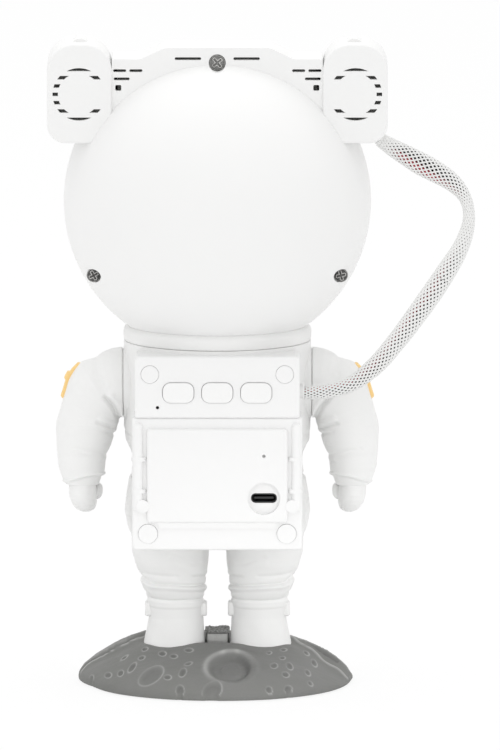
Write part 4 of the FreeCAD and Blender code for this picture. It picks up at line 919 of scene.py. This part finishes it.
def rock_sheet():
    """Rings of the rock's skin, from the middle to its foot, with marks for painted highlight and
    painted shade.
    """
    front = np.linspace(-math.pi, 0, 390, endpoint=False)
    behind = np.linspace(0, math.pi, 100, endpoint=False)
    angle = np.concatenate([front, behind])
    share = np.concatenate([np.linspace(0.012, 0.34, 20, endpoint=False),
                            np.linspace(0.34, 1.0, 172)])
    reach = np.convolve(np.pad(rock_reach(angle), 12, mode="wrap"), np.ones(25) / 25, mode="valid")
    radius = share[:, None] * reach[None, :]
    x, y = radius * np.cos(angle), radius * np.sin(angle)
    z = thin_plate(ROCK_HEIGHTS, x, y)
    late = np.clip((share - 0.78) / 0.22, 0, 1)[:, None]
    z = z * np.sqrt(1 - (0.8775 - 0.25 * np.cos(angle) ** 4) * late ** 2.2)
    ceiling = (np.interp(x, *np.array(SKYLINE).T) - SEEN_BACK * y) / SEEN_UP
    z = np.where(np.abs(x) > 18, ceiling - np.logaddexp(0, (ceiling - z) / 0.35) * 0.35, z)
    rough = smooth_step((radius - 8) / 14)
    rough = rough * (1 - 0.7 * smooth_step((-24.0 - x) / 3) * (y > -4))
    here = joined(x, y, z)
    z = z + (0.16 * lumps(here, 15.0, 3) + 0.05 * lumps(here, 4.5, 5)) * rough
    crest, pit = np.zeros_like(x), np.zeros_like(x)
    for height, width, line in ROCK_LINES:
        close = bump(gap_to(x + 0.5 * np.sin(y * 0.9), y + 0.5 * np.sin(x * 0.7), line), width)
        z = z + height * close
        # crests take painted highlight, grooves painted shade
        if height > 0:
            crest = np.maximum(crest, 0.9 * close)
        else:
            pit = np.maximum(pit, 0.6 * close)

    # two sharp ledges with a hollow between them run down the left shoulder
    seen = SEEN_UP * z + SEEN_BACK * y
    left = smooth_step((-25.0 - x) / 1.5) * smooth_step((6.0 - y) / 2.0)
    wander = 0.10 * np.sin(x * 0.9) + 0.05 * np.sin(x * 2.3)
    up = seen + wander - np.interp(x, *np.array(LEFT_LEDGE).T)
    z = z + left * (0.28 * bump(up, 0.32) - 0.40 * bump(up - 0.85, 0.45))
    # painted highlight along the ledge and over the rock above the hollow, painted shade in the
    # hollow
    crest = np.maximum(crest, left * 0.9 * bump(up, 0.24))
    crest = np.maximum(crest, left * 0.4 * smooth_step((up - 1.2) / 0.4))
    pit = np.maximum(pit, left * (0.7 * bump(up - 0.72, 0.36)))

    # craters are pressed in along the skin's normal
    skin = joined(x, y, z)
    along = np.gradient(skin, axis=0)
    round_way = (np.roll(skin, -1, axis=1) - np.roll(skin, 1, axis=1))
    normal = np.cross(along, round_way)
    normal /= np.linalg.norm(normal, axis=-1, keepdims=True) + 1e-9
    normal *= np.sign(normal[..., 2:3] + 1e-9)
    seen = SEEN_UP * z - SEEN_BACK * np.abs(y)
    for behind_too in (False, True):
        mirror = -1 if behind_too else 1
        side = y > 0 if behind_too else y <= 0
        for cx, cv, half_long, half_short, turn in CRATERS:
            if behind_too and abs(cx) < 20:
                continue
            a = math.radians(turn)
            dx, dv = mirror * x - cx, seen - cv
            u = (dx * math.cos(a) + dv * math.sin(a)) / half_long
            v = (-dx * math.sin(a) + dv * math.cos(a)) / half_short
            gone = (np.hypot(u, v) - 1) * half_short
            bowl = smooth_step(-gone / (0.45 * half_short + 0.12)) * side
            rim = bump(gone - 0.08, 0.14 + 0.02 * half_short) * side
            depth = 0.22 * half_short + 0.16
            # painted highlight on each crater's rim, brighter on one side, and painted shade in
            # its bowl, darker on the other side
            lit = 0.62 + 0.38 * np.clip((dx - dv) / (half_long + 0.3), -1, 1)
            skin = skin + normal * (0.13 * rim - depth * bowl)[..., None]
            crest = np.maximum(crest, rim * lit * (0.75 if half_short < 2 else 0.6))
            shaded = np.clip(0.55 + 0.45 * (dv - 0.4 * dx) / half_short, 0, 1)
            pit = np.maximum(pit, bowl * shaded * (0.65 if half_short < 1.6 else 0.45))

    # the wide crater under the boulder: soft outer ring, steep wall, raised floor
    half_long, half_short = 7.8, 4.9
    dx, dv = x - 4.6, seen - 4.75
    gone = np.hypot(dx / half_long, dv / half_short) + 0.02 * np.sin(3 * np.arctan2(dv, dx) + 1)
    close = (y < 0)
    skin = skin + normal * (close * (
        0.45 * bump(gone - 1.16, 0.13) - 1.8 * smooth_step((1.0 - gone) / 0.30)
        + 0.6 * smooth_step((0.62 - gone) / 0.25)))[..., None]
    # painted shade on the wall away from the light and on the floor, painted highlight with two
    # glints on the sunny rim
    sunny = np.clip(0.5 + 0.5 * (dv / half_short - 0.9 * dx / half_long), 0, 1)
    pit = np.maximum(pit, close * (1.0 * bump(gone - 0.82, 0.15) * (1 - 0.75 * sunny)
                                   + 0.35 * smooth_step((0.62 - gone) / 0.3)))
    shine = bump(gone - 1.12, 0.12) * close * sunny
    glints = 0.65 + 0.5 * bump(dx + 2.6, 1.2) + 0.5 * bump(dx - 2.4, 0.9)
    crest = np.maximum(crest, shine * glints)
    return angle, skin, crest, pit


def make_rock():
    """The whole casting: skin, foot, hollow underside and boulder."""
    angle, skin, crest, pit = rock_sheet()
    c, s = np.cos(angle), np.sin(angle)
    x, y, z = skin[-1].T
    rows_low = []
    for out, share in ((0.16, 0.66), (0.16, 0.36), (0.0, 0.14)):
        rows_low.append(joined(x + out * c, y + out * s, np.maximum(z * share, 0.42)))
    under = np.hypot(x, y) - 0.9
    rows_low.append(joined(under * c, under * s, 0.4))
    for size, height in ((44.0, 0.4), (43.8, 2.25), (20.0, 2.25), (0.6, 2.25)):
        rows_low.append(joined(size * c, size * s, height))
    extra = np.zeros((len(rows_low), len(angle)))
    shell = Shell()
    shell.rings(np.concatenate([skin, np.array(rows_low)]), crest=np.concatenate([crest, extra]),
                pit=np.concatenate([pit, extra]))
    make_boulder(shell)
    return shell.piece("rock_casting", "figure", [rock_grey], ["moon_base"], 70.0)


def make_boulder(shell):
    """Squared boulder between the heels: smooth cut face, rough broken top."""
    angle = circle(160)
    squash = (np.abs(np.cos(angle)) ** 7 + np.abs(np.sin(angle)) ** 7) ** (-1 / 7)
    ring = joined(np.cos(angle) * squash, np.sin(angle) * squash)
    foot, cut_top, brow = 9.5, 17.0, 17.7
    heights = np.concatenate([np.linspace(foot, 16.8, 20), [cut_top, 17.15, 17.4, brow]])
    grown = np.interp(heights, [foot, 13.5, 16.8, cut_top, 17.2, brow],
                      [1.10, 0.94, 0.96, 0.97, 1.03, 1.02])
    half_x, half_y, middle_y = 4.25, 6.6, 2.9
    rings = joined(np.outer(grown, ring[:, 0] * half_x),
                   np.outer(grown, ring[:, 1] * half_y) + middle_y, heights[:, None])
    for inset in np.linspace(0.96, 0.04, 16):
        top = joined(ring[:, 0] * half_x * inset, ring[:, 1] * half_y * inset + middle_y, brow)
        rings = np.concatenate([rings, top[None]])
    x, y, z = np.moveaxis(rings, -1, 0)
    broken = smooth_step((z - cut_top) / 0.5)
    z += broken * (0.28 * lumps(rings, 2.0, 8) + 0.16 * lumps(rings, 0.9, 18))
    x += 0.07 * lumps(rings, 3.5, 9)
    y += 0.10 * lumps(rings, 3.0, 10)
    # painted shadow along the front edge of the broken top, under its brow and down both sides of
    # the cut face; painted light on the cut face, which lies in the boots' shade; lighter and
    # darker flecks on the broken top
    lip = bump(y + 3.2, 0.8) * broken
    face = (z < cut_top) * smooth_step((-1.2 - y) / 0.8) \
        * smooth_step((3.7 - np.abs(x)) / 0.4)
    speck = lumps(rings, 0.8, 12) > 0.25
    crest = np.maximum(face, 0.85 * broken * speck)
    pit = np.maximum(0.95 * lip, 0.5 * broken * (1 - speck))
    pit = np.maximum(pit, 0.9 * bump(z - 17.15, 0.2) * (y < 0))
    pit = np.maximum(pit, 0.9 * smooth_step((np.abs(x) - 3.6) / 0.4))
    shell.rings(rings, crest=crest, pit=pit)


make_rock()


# ------------------------------------------------------------------ legs and boots
LEG_X = 15.2
# creases as seen from behind and eight degrees above: points, depth, width, share of soft roll
LEG_FOLDS = [
    ([(12.5, 38.4), (11.2, 36.9), (9.2, 35.1), (7.2, 34.3), (1.8, 34.1), (-2.9, 33.7),
      (-7.7, 33.7), (-12, 34.2)], 0.75, 0.50, 0.6),
    ([(13.5, 39.4), (11.8, 38.6), (8.8, 37.8), (4.5, 37.2), (-2.0, 36.9)], 0.30, 0.60, 0.6),
    ([(12.0, 32.6), (10.0, 30.9), (9.0, 29.3), (6.9, 28.5), (1.8, 28.1), (-6.9, 28.3),
      (-12, 28.8)], 0.65, 0.50, 0.4),
    ([(3.0, 44.2), (-1.4, 43.4), (-6.1, 41.4), (-10.5, 42.8)], 0.35, 0.90, 0.7),
    ([(-13, 37.6), (-9.0, 36.8), (-5.5, 36.6)], 0.30, 0.50, 0.5),
    ([(-13, 32.0), (-9.5, 31.2), (-7.0, 31.4)], 0.22, 0.50, 0.5)]
# height of each section with its middle, half-width, depth behind and depth in front
LEG_SECTIONS = [(11.0, 0.1, 11.0, 10.9, 17.6), (12.4, 0.1, 10.95, 10.9, 17.6),
                (14.0, 0.0, 10.75, 10.6, 16.8), (16.5, -0.2, 10.4, 10.2, 13.6),
                (19.5, -0.4, 10.0, 9.9, 10.8), (23.0, -0.6, 9.6, 9.6, 9.7),
                (27.0, -0.5, 9.75, 9.7, 9.8), (29.4, -0.3, 9.9, 9.8, 9.9),
                (32.0, 0.1, 10.9, 10.7, 10.8), (34.6, 0.3, 11.3, 11.2, 11.2),
                (37.0, 0.2, 11.4, 11.3, 11.3), (39.4, 0.6, 12.2, 12.0, 12.0),
                (42.0, 1.0, 12.9, 12.6, 12.6), (46.0, 1.4, 13.5, 13.0, 13.0),
                (51.6, 1.4, 13.7, 13.2, 13.2)]


def leg_section(z):
    """Middle, half-width, depth behind and depth in front of the leg at each height."""
    heights, *columns = np.array(LEG_SECTIONS).T
    fine = np.linspace(heights[0], heights[-1], 400)
    return [np.interp(z, fine, soften(np.interp(fine, heights, column), 12, 6.0))
            for column in columns]


def make_leg(side):
    """One leg: gathered trouser, ankle strap with side buckles, and a plain boot."""
    z = np.linspace(LEG_SECTIONS[0][0], LEG_SECTIONS[-1][0], 210)
    angle = circle(160)
    middle, half, back, front = leg_section(z)
    power = 2 / np.interp(z, [11, 14, 20, 24], [2.5, 2.4, 2.1, 2.0])[:, None]
    c, s = np.cos(angle), np.sin(angle)
    unit_x = np.sign(c) * np.abs(c) ** power
    unit_y = np.sign(s) * np.abs(s) ** power
    depth = np.where(unit_y < 0, back[:, None], front[:, None])
    x = middle[:, None] + half[:, None] * unit_x
    y = depth * unit_y
    zz = z[:, None] + 0 * x
    seen = zz - 0.14 * np.abs(y)    # height as it shows from eight degrees above
    relief = np.zeros_like(x)
    for line, deep, width, lip in LEG_FOLDS:
        relief += fold(x, seen, line, deep, width, lip)
    here = joined(x, y, zz)
    cloth = smooth_step((zz - 29.2) / 1.2)
    relief = relief * cloth + 0.12 * lumps(here, 10.0, 21) * cloth
    strap = smooth_step((zz - 26.3) / 1.0) * smooth_step((29.3 - zz) / 0.6)
    relief += 0.24 * strap - 0.16 * bump(zz - 29.6, 0.40)
    relief += 0.05 * lumps(here, 6.0, 22) * smooth_step((24 - zz) / 4)
    x = x + relief * c
    y = y + relief * s
    shell = Shell()
    shell.rings(joined(side * (LEG_X + x), y, zz))
    for near, far in ((-8.9, -11.5), (7.6, 10.4)):
        low, high = sorted((side * (LEG_X + near), side * (LEG_X + far)))
        shell.block((low, -3.6, 23.2), (high, 3.6, 28.1), 0.8)
    name = side_name(side)
    return shell.piece(name + "_trouser_boot", "figure", [suit_white], [name + "_leg"],
                       50.0)


make_leg(1)
make_leg(-1)


# ------------------------------------------------------------------ torso
SHOULDER_Z = 106.3


def make_torso():
    """Suit body with shoulder rings, waist folds and a holster pouch on each hip."""
    z = np.linspace(51.75, 121.5, 190)
    angle = circle(288)
    levels = [51.7, 56.0, 61.0, 67.0, 74.0, 78.0, 81.4, 83.6, 85.8, 90.0, 96.0, 104.0, 121.5]
    size = [30.4, 30.9, 31.2, 30.9, 30.3, 30.0, 30.1, 31.2, 32.3, 32.8, 33.0, 33.1, 33.0]
    radius = soften(np.interp(z, levels, size), 9, 3.5)
    c, s = np.cos(angle), np.sin(angle)
    r = radius[:, None] + 0 * c
    x, y, zz = r * c, r * s, z[:, None] + 0 * c
    here = joined(x, y, zz)
    relief = 0.10 * lumps(here, 14.0, 31)
    for height, lean, deep, seed in ((84.5, 1.2, 0.45, 0.4), (79.0, -1.6, 0.55, 2.2),
                                     (74.6, 0.8, 0.40, 4.0), (88.6, -0.8, 0.30, 5.1)):
        where = height + lean * np.sin(2 * angle + seed) + 0.5 * np.sin(5 * angle + seed)
        share = 0.55 + 0.45 * np.sin(3 * angle + 2 * seed)
        off = zz - where[None, :]
        relief += share[None, :] * deep * (0.6 * bump(off - 1.3, 1.1) - bump(off, 0.55))
    # belt round the waist
    belt = smooth_step((zz - 69.2) / 0.5) * smooth_step((73.2 - zz) / 0.5)
    relief += 0.55 * belt
    # pouches
    for way in (0.0, math.pi):
        off = np.abs(np.angle(np.exp(1j * (angle - way))))[None, :] * 31.0
        inside = smooth_step((9.6 - off) / 1.1) * smooth_step((zz - 52.4) / 1.6) \
            * smooth_step((73.0 - zz) / 0.8)
        proud = np.interp(zz, [52, 56, 61, 66, 73], [0.3, 1.0, 1.6, 1.3, 0.7])
        relief = np.where(inside > 0.02, relief * (1 - inside) + proud * inside, relief)
        relief -= 0.22 * bump(zz - 65.6, 0.30) * (off < 9.4)
        relief -= 0.55 * bump(off - 7.6, 0.3) * smooth_step((zz - 56.6) / 0.6) \
            * smooth_step((60.4 - zz) / 0.6)
    # parting line between the two mouldings
    relief -= 0.12 * bump(np.abs(y), 0.22) * (zz > 72)
    x, y = x + relief * c, y + relief * s
    rings = joined(x, y, zz)
    rows_in = []
    for size, height in ((32.75, 121.74), (32.2, 121.76), (30.9, 121.76), (30.8, 119.0)):
        rows_in.append(joined(size * c, size * s, height))
    rings = np.concatenate([rings, np.array(rows_in)])
    shell = Shell()
    shell.rings(rings, high=False)
    # the backpack covers the rear, so the wall is open there
    window = []
    points = np.concatenate(shell.points)
    for face in shell.faces:
        middle = points[face].mean(axis=0)
        if len(face) > 4 or not (abs(middle[0]) < 23.5 and middle[1] < -20.5
                                 and 53.5 < middle[2] < 119.0):
            window.append(face)
    shell.faces = window
    for side in (-1, 1):
        rings = []
        for out, size in ((27.5, 12.8), (32.5, 12.8), (33.0, 12.65), (33.2, 12.2), (33.2, 4.4),
                          (30.0, 4.4)):
            rings.append([(side * out, size * math.cos(a), SHOULDER_Z + size * math.sin(a))
                          for a in circle(96)])
        shell.rings(rings, low=True, high=False)
    return shell.piece("suit_body", "figure", [suit_white], ["torso_rear", "torso_front"],
                       45.0)


def turned_piece(name, body, profile, materials, replaced, sharp=40.0):
    """A piece turned about the figure's own axis from (radius, height) pairs."""
    angle = circle(192)
    rings = [joined(r * np.cos(angle), r * np.sin(angle), z) for r, z in profile]
    shell = Shell()
    shell.rings(rings)
    return shell.piece(name, body, materials, replaced, sharp)


def make_collar():
    """Neck ring: a soft outer roll, a fine joint above the suit and a lip close to the helmet."""
    ball_z, lip_r, seat_r = 171.0, 54.22, 54.5
    profile = [(0.3, 110.4), (14.1, 110.4), (14.1, 114.0), (25.0, 120.6), (30.3, 120.6),
               (30.3, 121.85), (32.7, 121.88), (32.95, 122.02), (33.05, 122.4), (33.15, 123.5),
               (33.2, 124.6), (33.08, 125.4), (32.8, 126.05), (32.4, 126.55), (32.0, 126.85)]
    profile += [(r, ball_z - math.sqrt(lip_r ** 2 - r ** 2)) for r in (31.75, 31.45)]
    profile += [(r, ball_z - math.sqrt(seat_r ** 2 - r ** 2))
                for r in (31.2, 28.0, 24.0, 18.0, 12.3)]
    profile += [(12.3, 112.0), (0.3, 112.0)]
    turned_piece("neck_ring", "figure", profile, [suit_white], ["neck_collar"])


make_torso()
make_collar()


# ------------------------------------------------------------------ buttons and small fittings
def rounded(width, height, radius, count=72):
    """Points, across and up, round a rectangle with rounded corners."""
    points = []
    for corner, (sx, sz) in enumerate(((1, 1), (-1, 1), (-1, -1), (1, -1))):
        for step in range(count // 4):
            a = math.pi / 2 * (corner + step / (count // 4 - 1))
            points.append((sx * (width / 2 - radius) + radius * math.cos(a),
                           sz * (height / 2 - radius) + radius * math.sin(a)))
    return np.array(points)


BUTTON_Z = 107.6


def make_button(name, x):
    """A shallow dished cap with its flange behind the wall and the post that meets the switch."""
    # width, height, depth and whether the ring is on the post
    outline = [(1.5, 3.0, -30.2, 1), (3.0, 3.0, -33.6, 1), (12.4, 8.6, -33.6, 0),
               (12.4, 8.6, -34.4, 0), (10.85, 7.05, -34.45, 0), (10.85, 7.05, -37.16, 0),
               (10.81, 7.01, -37.24, 0), (10.70, 6.90, -37.29, 0), (9.9, 6.1, -37.31, 0),
               (8.0, 4.2, -37.27, 0), (4.0, 1.0, -37.22, 0)]
    rings = []
    for width, height, y, is_post in outline:
        if is_post:
            ring = rounded(3.0, 3.0, 1.49) * (0.2 if width < 2 else 1.0)
        else:
            ring = rounded(width, height, min(2.7, height / 2 - 0.01))
        rings.append(joined(x + ring[:, 0], y, BUTTON_Z + ring[:, 1]))
    shell = Shell()
    shell.rings(rings)
    shell.piece(name + "_cap", "button_" + name, [button_white], [name + "_button"],
                35.0)


def make_screws():
    """Three pan-head screws with a cross recess, with painted glints on the recess's edges and the
    head's rim.
    """
    shell = Shell()
    for x, z, seat, size, reach, turn in ((-43.5, 147.1, -19.6, 2.45, 26.0, 0.5),
                                          (43.5, 147.1, -19.6, 2.45, 26.0, 0.25),
                                          (0.0, 222.3, -18.1, 2.85, 12.0, 0.7)):
        angle = circle(120)
        share = np.linspace(1.0, 0.01, 46)
        r = size * share[:, None] + 0 * angle[None, :]
        across, up = r * np.cos(angle - turn), r * np.sin(angle - turn)
        near = np.minimum(np.abs(across), np.abs(up))
        far = np.maximum(np.abs(across), np.abs(up))
        arm = smooth_step((0.40 - near) / 0.16) * smooth_step((size * 0.66 - far) / 0.2)
        edge = bump(near - 0.42, 0.16) * smooth_step((size * 0.72 - far) / 0.2)
        edge = np.maximum(edge, bump(far - size * 0.68, 0.14) * (near < 0.42))
        rise = 1.5 * np.sqrt(np.clip(1 - (share[:, None] * 0.86) ** 2.4, 0, 1)) - 0.8 * arm
        top = joined(x + r * np.cos(angle), seat - rise, z + r * np.sin(angle))
        low = [joined(x + q * np.cos(angle), y, z + q * np.sin(angle))
               for q, y in ((0.3, seat + reach), (1.05, seat + reach - 1.5), (1.05, seat),
                            (size, seat))]
        rings = np.concatenate([np.array(low), top])
        # painted glints on the recess's edges and the head's rim
        worn = np.concatenate([np.zeros((4, 120)), edge + 0.5 * bump(share - 0.94, 0.05)[:, None]])
        # the top screw alone is marked to stay out of the painted shade given to the two low
        # screws in their wells
        shell.rings(rings, worn=worn, fresh=0 * worn + (1.0 if x == 0 else 0.0))
    shell.piece("helmet_cross_screws", "head", [zinc], ["helmet_screws"], 50.0)


for label, place in (("left", -13.7), ("middle", 0.0), ("right", 13.7)):
    make_button(label, place)
make_screws()


# ------------------------------------------------------------------ arms
ARMPIT = (33.5, 92.2)
BEND = [(0, 12.65), (9, 12.5), (17, 12.15), (22, 11.8), (27, 11.85), (34, 12.25), (42, 12.0),
        (50, 11.55), (60, 10.9), (68, 10.6), (79, 10.6), (86, 10.85), (90, 11.0)]
FOREARM = [(46.5, 89.3, 10.5), (46.85, 86.4, 10.05), (47.15, 84.3, 9.65), (47.5, 82.6, 9.25),
           (47.9, 80.9, 8.75), (48.0, 78.8, 8.55), (48.0, 76.7, 8.35), (47.75, 73.8, 7.65),
           (47.6, 71.6, 6.9), (47.55, 70.4, 6.35)]
ARM_FOLDS = [([(32.9, 92.5), (35.0, 94.4), (36.6, 98.2), (40.4, 102.8)], 1.7, 0.85, 0.7),
             ([(35.9, 89.8), (39.6, 91.6), (43.2, 92.9)], 0.95, 0.70, 0.6),
             ([(34.6, 87.6), (38.0, 88.6), (41.5, 89.8)], 0.65, 0.55, 0.6),
             ([(51.5, 83.7), (46.5, 82.8), (42.0, 81.6), (38.0, 80.4)], 0.45, 0.55, 0.8),
             ([(37.6, 84.2), (40.6, 84.9)], 0.45, 0.45, 0.6),
             ([(39.2, 78.3), (42.0, 77.6)], 0.30, 0.5, 0.6),
             ([(43.2, 116.8), (42.4, 112.5), (42.6, 108.5)], 0.40, 0.8, 0.3)]
CUFF_LINE = [(55.5, 69.8), (53.9, 70.6), (49.5, 72.4), (46.6, 73.4), (42.5, 73.7), (39.6, 73.2)]


def arm_frames(count):
    """Middle, radius and turn of count sections from the shoulder's disc to the cuff."""
    frames = []
    for turn, radius in BEND:
        away = (math.sin(math.radians(turn)), math.cos(math.radians(turn)))
        frames.append((ARMPIT[0] + away[0] * (1.3 + radius), ARMPIT[1] + away[1] * (1.3 + radius),
                       radius, turn))
    for x, z, radius in FOREARM:
        frames.append((x, z, radius, 90.0))
    frames = np.array(frames)
    run = np.concatenate([[0], np.cumsum(np.hypot(*np.diff(frames[:, :2], axis=0).T))])
    even = np.linspace(0, run[-1], count)
    return joined(*[np.interp(even, run, column) for column in frames.T])


def arm_surface(count=260, around=144):
    """Rings of the right sleeve's skin, each starting on the outer side."""
    frames = arm_frames(count)
    radius = soften(frames[:, 2], 4, 2.2)
    turn = np.radians(frames[:, 3])
    away = joined(np.sin(turn), 0.0, np.cos(turn))
    angle = circle(around)
    out = np.cos(angle)[None, :, None] * away[:, None, :]
    out = out + np.sin(angle)[None, :, None] * np.array([0, 1, 0])
    middle = joined(frames[:, 0], 0.0, frames[:, 1])[:, None, :]
    skin = middle + radius[:, None, None] * out
    x, y, z = skin[..., 0], skin[..., 1], skin[..., 2]
    relief = 0.08 * lumps(skin, 9.0, 41)
    lean = 0.12 * y
    for line, depth, width, lip in ARM_FOLDS:
        fade = 0.65 + 0.35 * np.cos(y / 5.0 + depth * 9)
        relief += fade * fold(x, z + lean * 0.4, line, depth, width, lip)
    # hem of the sleeve: below its line the cloth is tucked in
    level = np.interp(x, [p[0] for p in CUFF_LINE[::-1]], [p[1] for p in CUFF_LINE[::-1]])
    under = (z - level) * smooth_step((80 - z) / 4)
    relief += 0.60 * bump(z - level - 0.6, 0.55) * (z < 78) - 0.55 * smooth_step(
        -(z - level) / 0.5 + 0.2) * (z < 78) * (under < 2)
    skin = skin + relief[..., None] * out
    skin[..., 0] = np.maximum(skin[..., 0], ARMPIT[0])
    return skin, out, frames


ARM_SKIN, ARM_OUT, ARM_FRAMES = arm_surface()


def make_arm(side):
    """Sleeve with its flat shoulder face, a spigot into the torso's ring and a rolled cuff."""
    rings = list(ARM_SKIN)
    first = rings[0].copy()
    middle = first.mean(axis=0)
    rings[0] = middle + (first - middle) * 0.975
    rings[0][:, 0] = ARMPIT[0]
    face = rings[0].copy()
    face[:, 1:] = (face[:, 1:] - (0, SHOULDER_Z)) * 0.97 + (0, SHOULDER_Z)
    spigot = face.copy()
    spigot[:, 0] = ARMPIT[0] - 0.27
    rings = [spigot, face] + rings
    last = rings[-1]
    centre = last.mean(axis=0)
    for grow, rise in ((0.985, -0.25), (0.94, -0.42), (0.88, -0.3), (0.85, 0.4), (0.83, 2.5)):
        ring = centre + (last - centre) * grow
        ring[:, 2] = last[:, 2] + rise
        rings.append(ring)
    rings = np.array(rings)
    rings[..., 0] *= side
    shell = Shell()
    shell.rings(rings)
    name = side_name(side)
    return shell.piece(name + "_sleeve", "arm_" + name, [suit_white], [name + "_arm"],
                       55.0)


def make_patch(side):
    """Raised bare shoulder patch that follows the sleeve, with a frame and a small boss."""
    turn = ARM_FRAMES[:, 3]
    rows = np.where((turn >= 34.5) & (turn <= 70.5))[0]
    along = np.linspace(-1, 1, 61)
    across = np.linspace(-1, 1, 49)
    picks = np.interp(along, [-1, 1], [rows[0], rows[-1]])
    count = ARM_SKIN.shape[1]
    grid = np.zeros((len(along), len(across), 3))
    outs = np.zeros_like(grid)
    for i, pick in enumerate(picks):
        low = int(pick)
        t = pick - low
        angles = (0.37 + across * 0.47) / (2 * math.pi) * count
        for made, source in ((grid, ARM_SKIN), (outs, ARM_OUT)):
            ring = source[low] * (1 - t) + source[min(low + 1, len(source) - 1)] * t
            table = np.concatenate([ring[-20:], ring[:31]])
            for axis in range(3):
                made[i, :, axis] = np.interp(angles, np.arange(-20, 31), table[:, axis])
    u, v = np.meshgrid(along, across, indexing="ij")
    gone = (np.abs(u) ** 6 + np.abs(v) ** 6) ** (1 / 6)
    edge = smooth_step((1 - gone) / 0.12)
    frame_line = bump(gone - 0.84, 0.07)
    proud = 1.30 - 0.35 * smooth_step((-0.35 - u) / 0.6)
    boss = smooth_step((2.2 - np.hypot((u + 0.12) * 8.6, (v + 0.72) * 5.4)) / 0.7)
    height = -0.5 + (0.5 + proud - 0.25) * np.sqrt(np.clip(edge, 0, 1)) \
        + 0.15 * frame_line * edge + 0.75 * boss
    top = grid + outs * height[..., None]
    low = grid - outs * 0.55
    rows_n, cols = u.shape
    points = np.concatenate([top.reshape(-1, 3), low.reshape(-1, 3)])
    faces = []
    offset = rows_n * cols
    for i in range(rows_n - 1):
        for j in range(cols - 1):
            a = i * cols + j
            face = (a, a + 1, a + cols + 1, a + cols)
            faces.append(face)
            faces.append(tuple(reversed([k + offset for k in face])))
    rim = list(range(cols)) + [i * cols + cols - 1 for i in range(1, rows_n)] \
        + [(rows_n - 1) * cols + j for j in range(cols - 2, -1, -1)] \
        + [i * cols for i in range(rows_n - 2, 0, -1)]
    for a, b in zip(rim, rim[1:] + rim[:1]):
        faces.append((a, b, b + offset, a + offset))
    points[:, 0] *= side
    shell = Shell()
    marks = np.concatenate([(frame_line * edge).reshape(-1), np.zeros(offset)])
    shell.add(points, faces, edge=marks)
    name = side_name(side)
    return shell.piece(name + "_shoulder_patch", "arm_" + name, [gold], [name + "_patch"],
                       50.0)


def make_glove(side):
    """A mitten hand with finger grooves on the palm side and a thumb laid along it."""
    z = np.linspace(72.6, 59.8, 90)
    levels = [59.8, 60.1, 60.8, 61.8, 63.2, 64.8, 66.6, 68.6, 70.4, 72.6]
    middle = np.interp(z, levels, [46.5, 46.5, 46.6, 46.75, 47.1, 47.4, 47.6, 47.7, 47.7, 47.7])
    half = np.interp(z, levels, [0.3, 1.8, 3.1, 3.9, 4.5, 4.8, 4.9, 4.85, 4.75, 4.6])
    depth = np.interp(z, levels, [0.4, 2.0, 3.6, 4.8, 5.9, 6.5, 6.7, 6.3, 5.6, 5.0])
    shift = np.interp(z, levels, [1.6, 1.6, 1.5, 1.4, 1.2, 0.9, 0.6, 0.3, 0.1, 0.0])
    angle = circle(96)
    c, s = np.cos(angle), np.sin(angle)
    x = middle[:, None] + half[:, None] * c
    y = shift[:, None] + depth[:, None] * s
    zz = z[:, None] + 0 * x
    groove = np.zeros_like(x)
    front = smooth_step((c * -1 + 0.75) / 0.5) * smooth_step((68.2 - zz) / 3)
    for offset in (-3.0, -0.2, 2.6):
        groove -= 0.45 * bump(y - shift[:, None] - offset, 0.5) * front * (c < 0.2)
    groove += 0.05 * lumps(joined(x, y, zz), 5.0, 51)
    x, y = x + groove * c, y + groove * s
    rings = joined(side * x, y, zz)
    shell = Shell()
    shell.rings(rings)
    rings = []
    for t in np.linspace(-1, 1, 41):
        size = 2.05 * math.sqrt(max(1 - abs(t) ** 2.6, 0.0004))
        centre = (42.6 - 0.25 * t, 3.4 + 0.5 * t, 67.0 + 2.9 * t)
        rings.append([(side * (centre[0] + size * math.cos(a)), centre[1] + size * math.sin(a),
                       centre[2]) for a in circle(40)])
    shell.rings(rings)
    name = side_name(side)
    return shell.piece(name + "_mitten", "arm_" + name, [suit_white], [name + "_glove"],
                       60.0)


for way in (1, -1):
    make_arm(way)
    make_patch(way)
    make_glove(way)
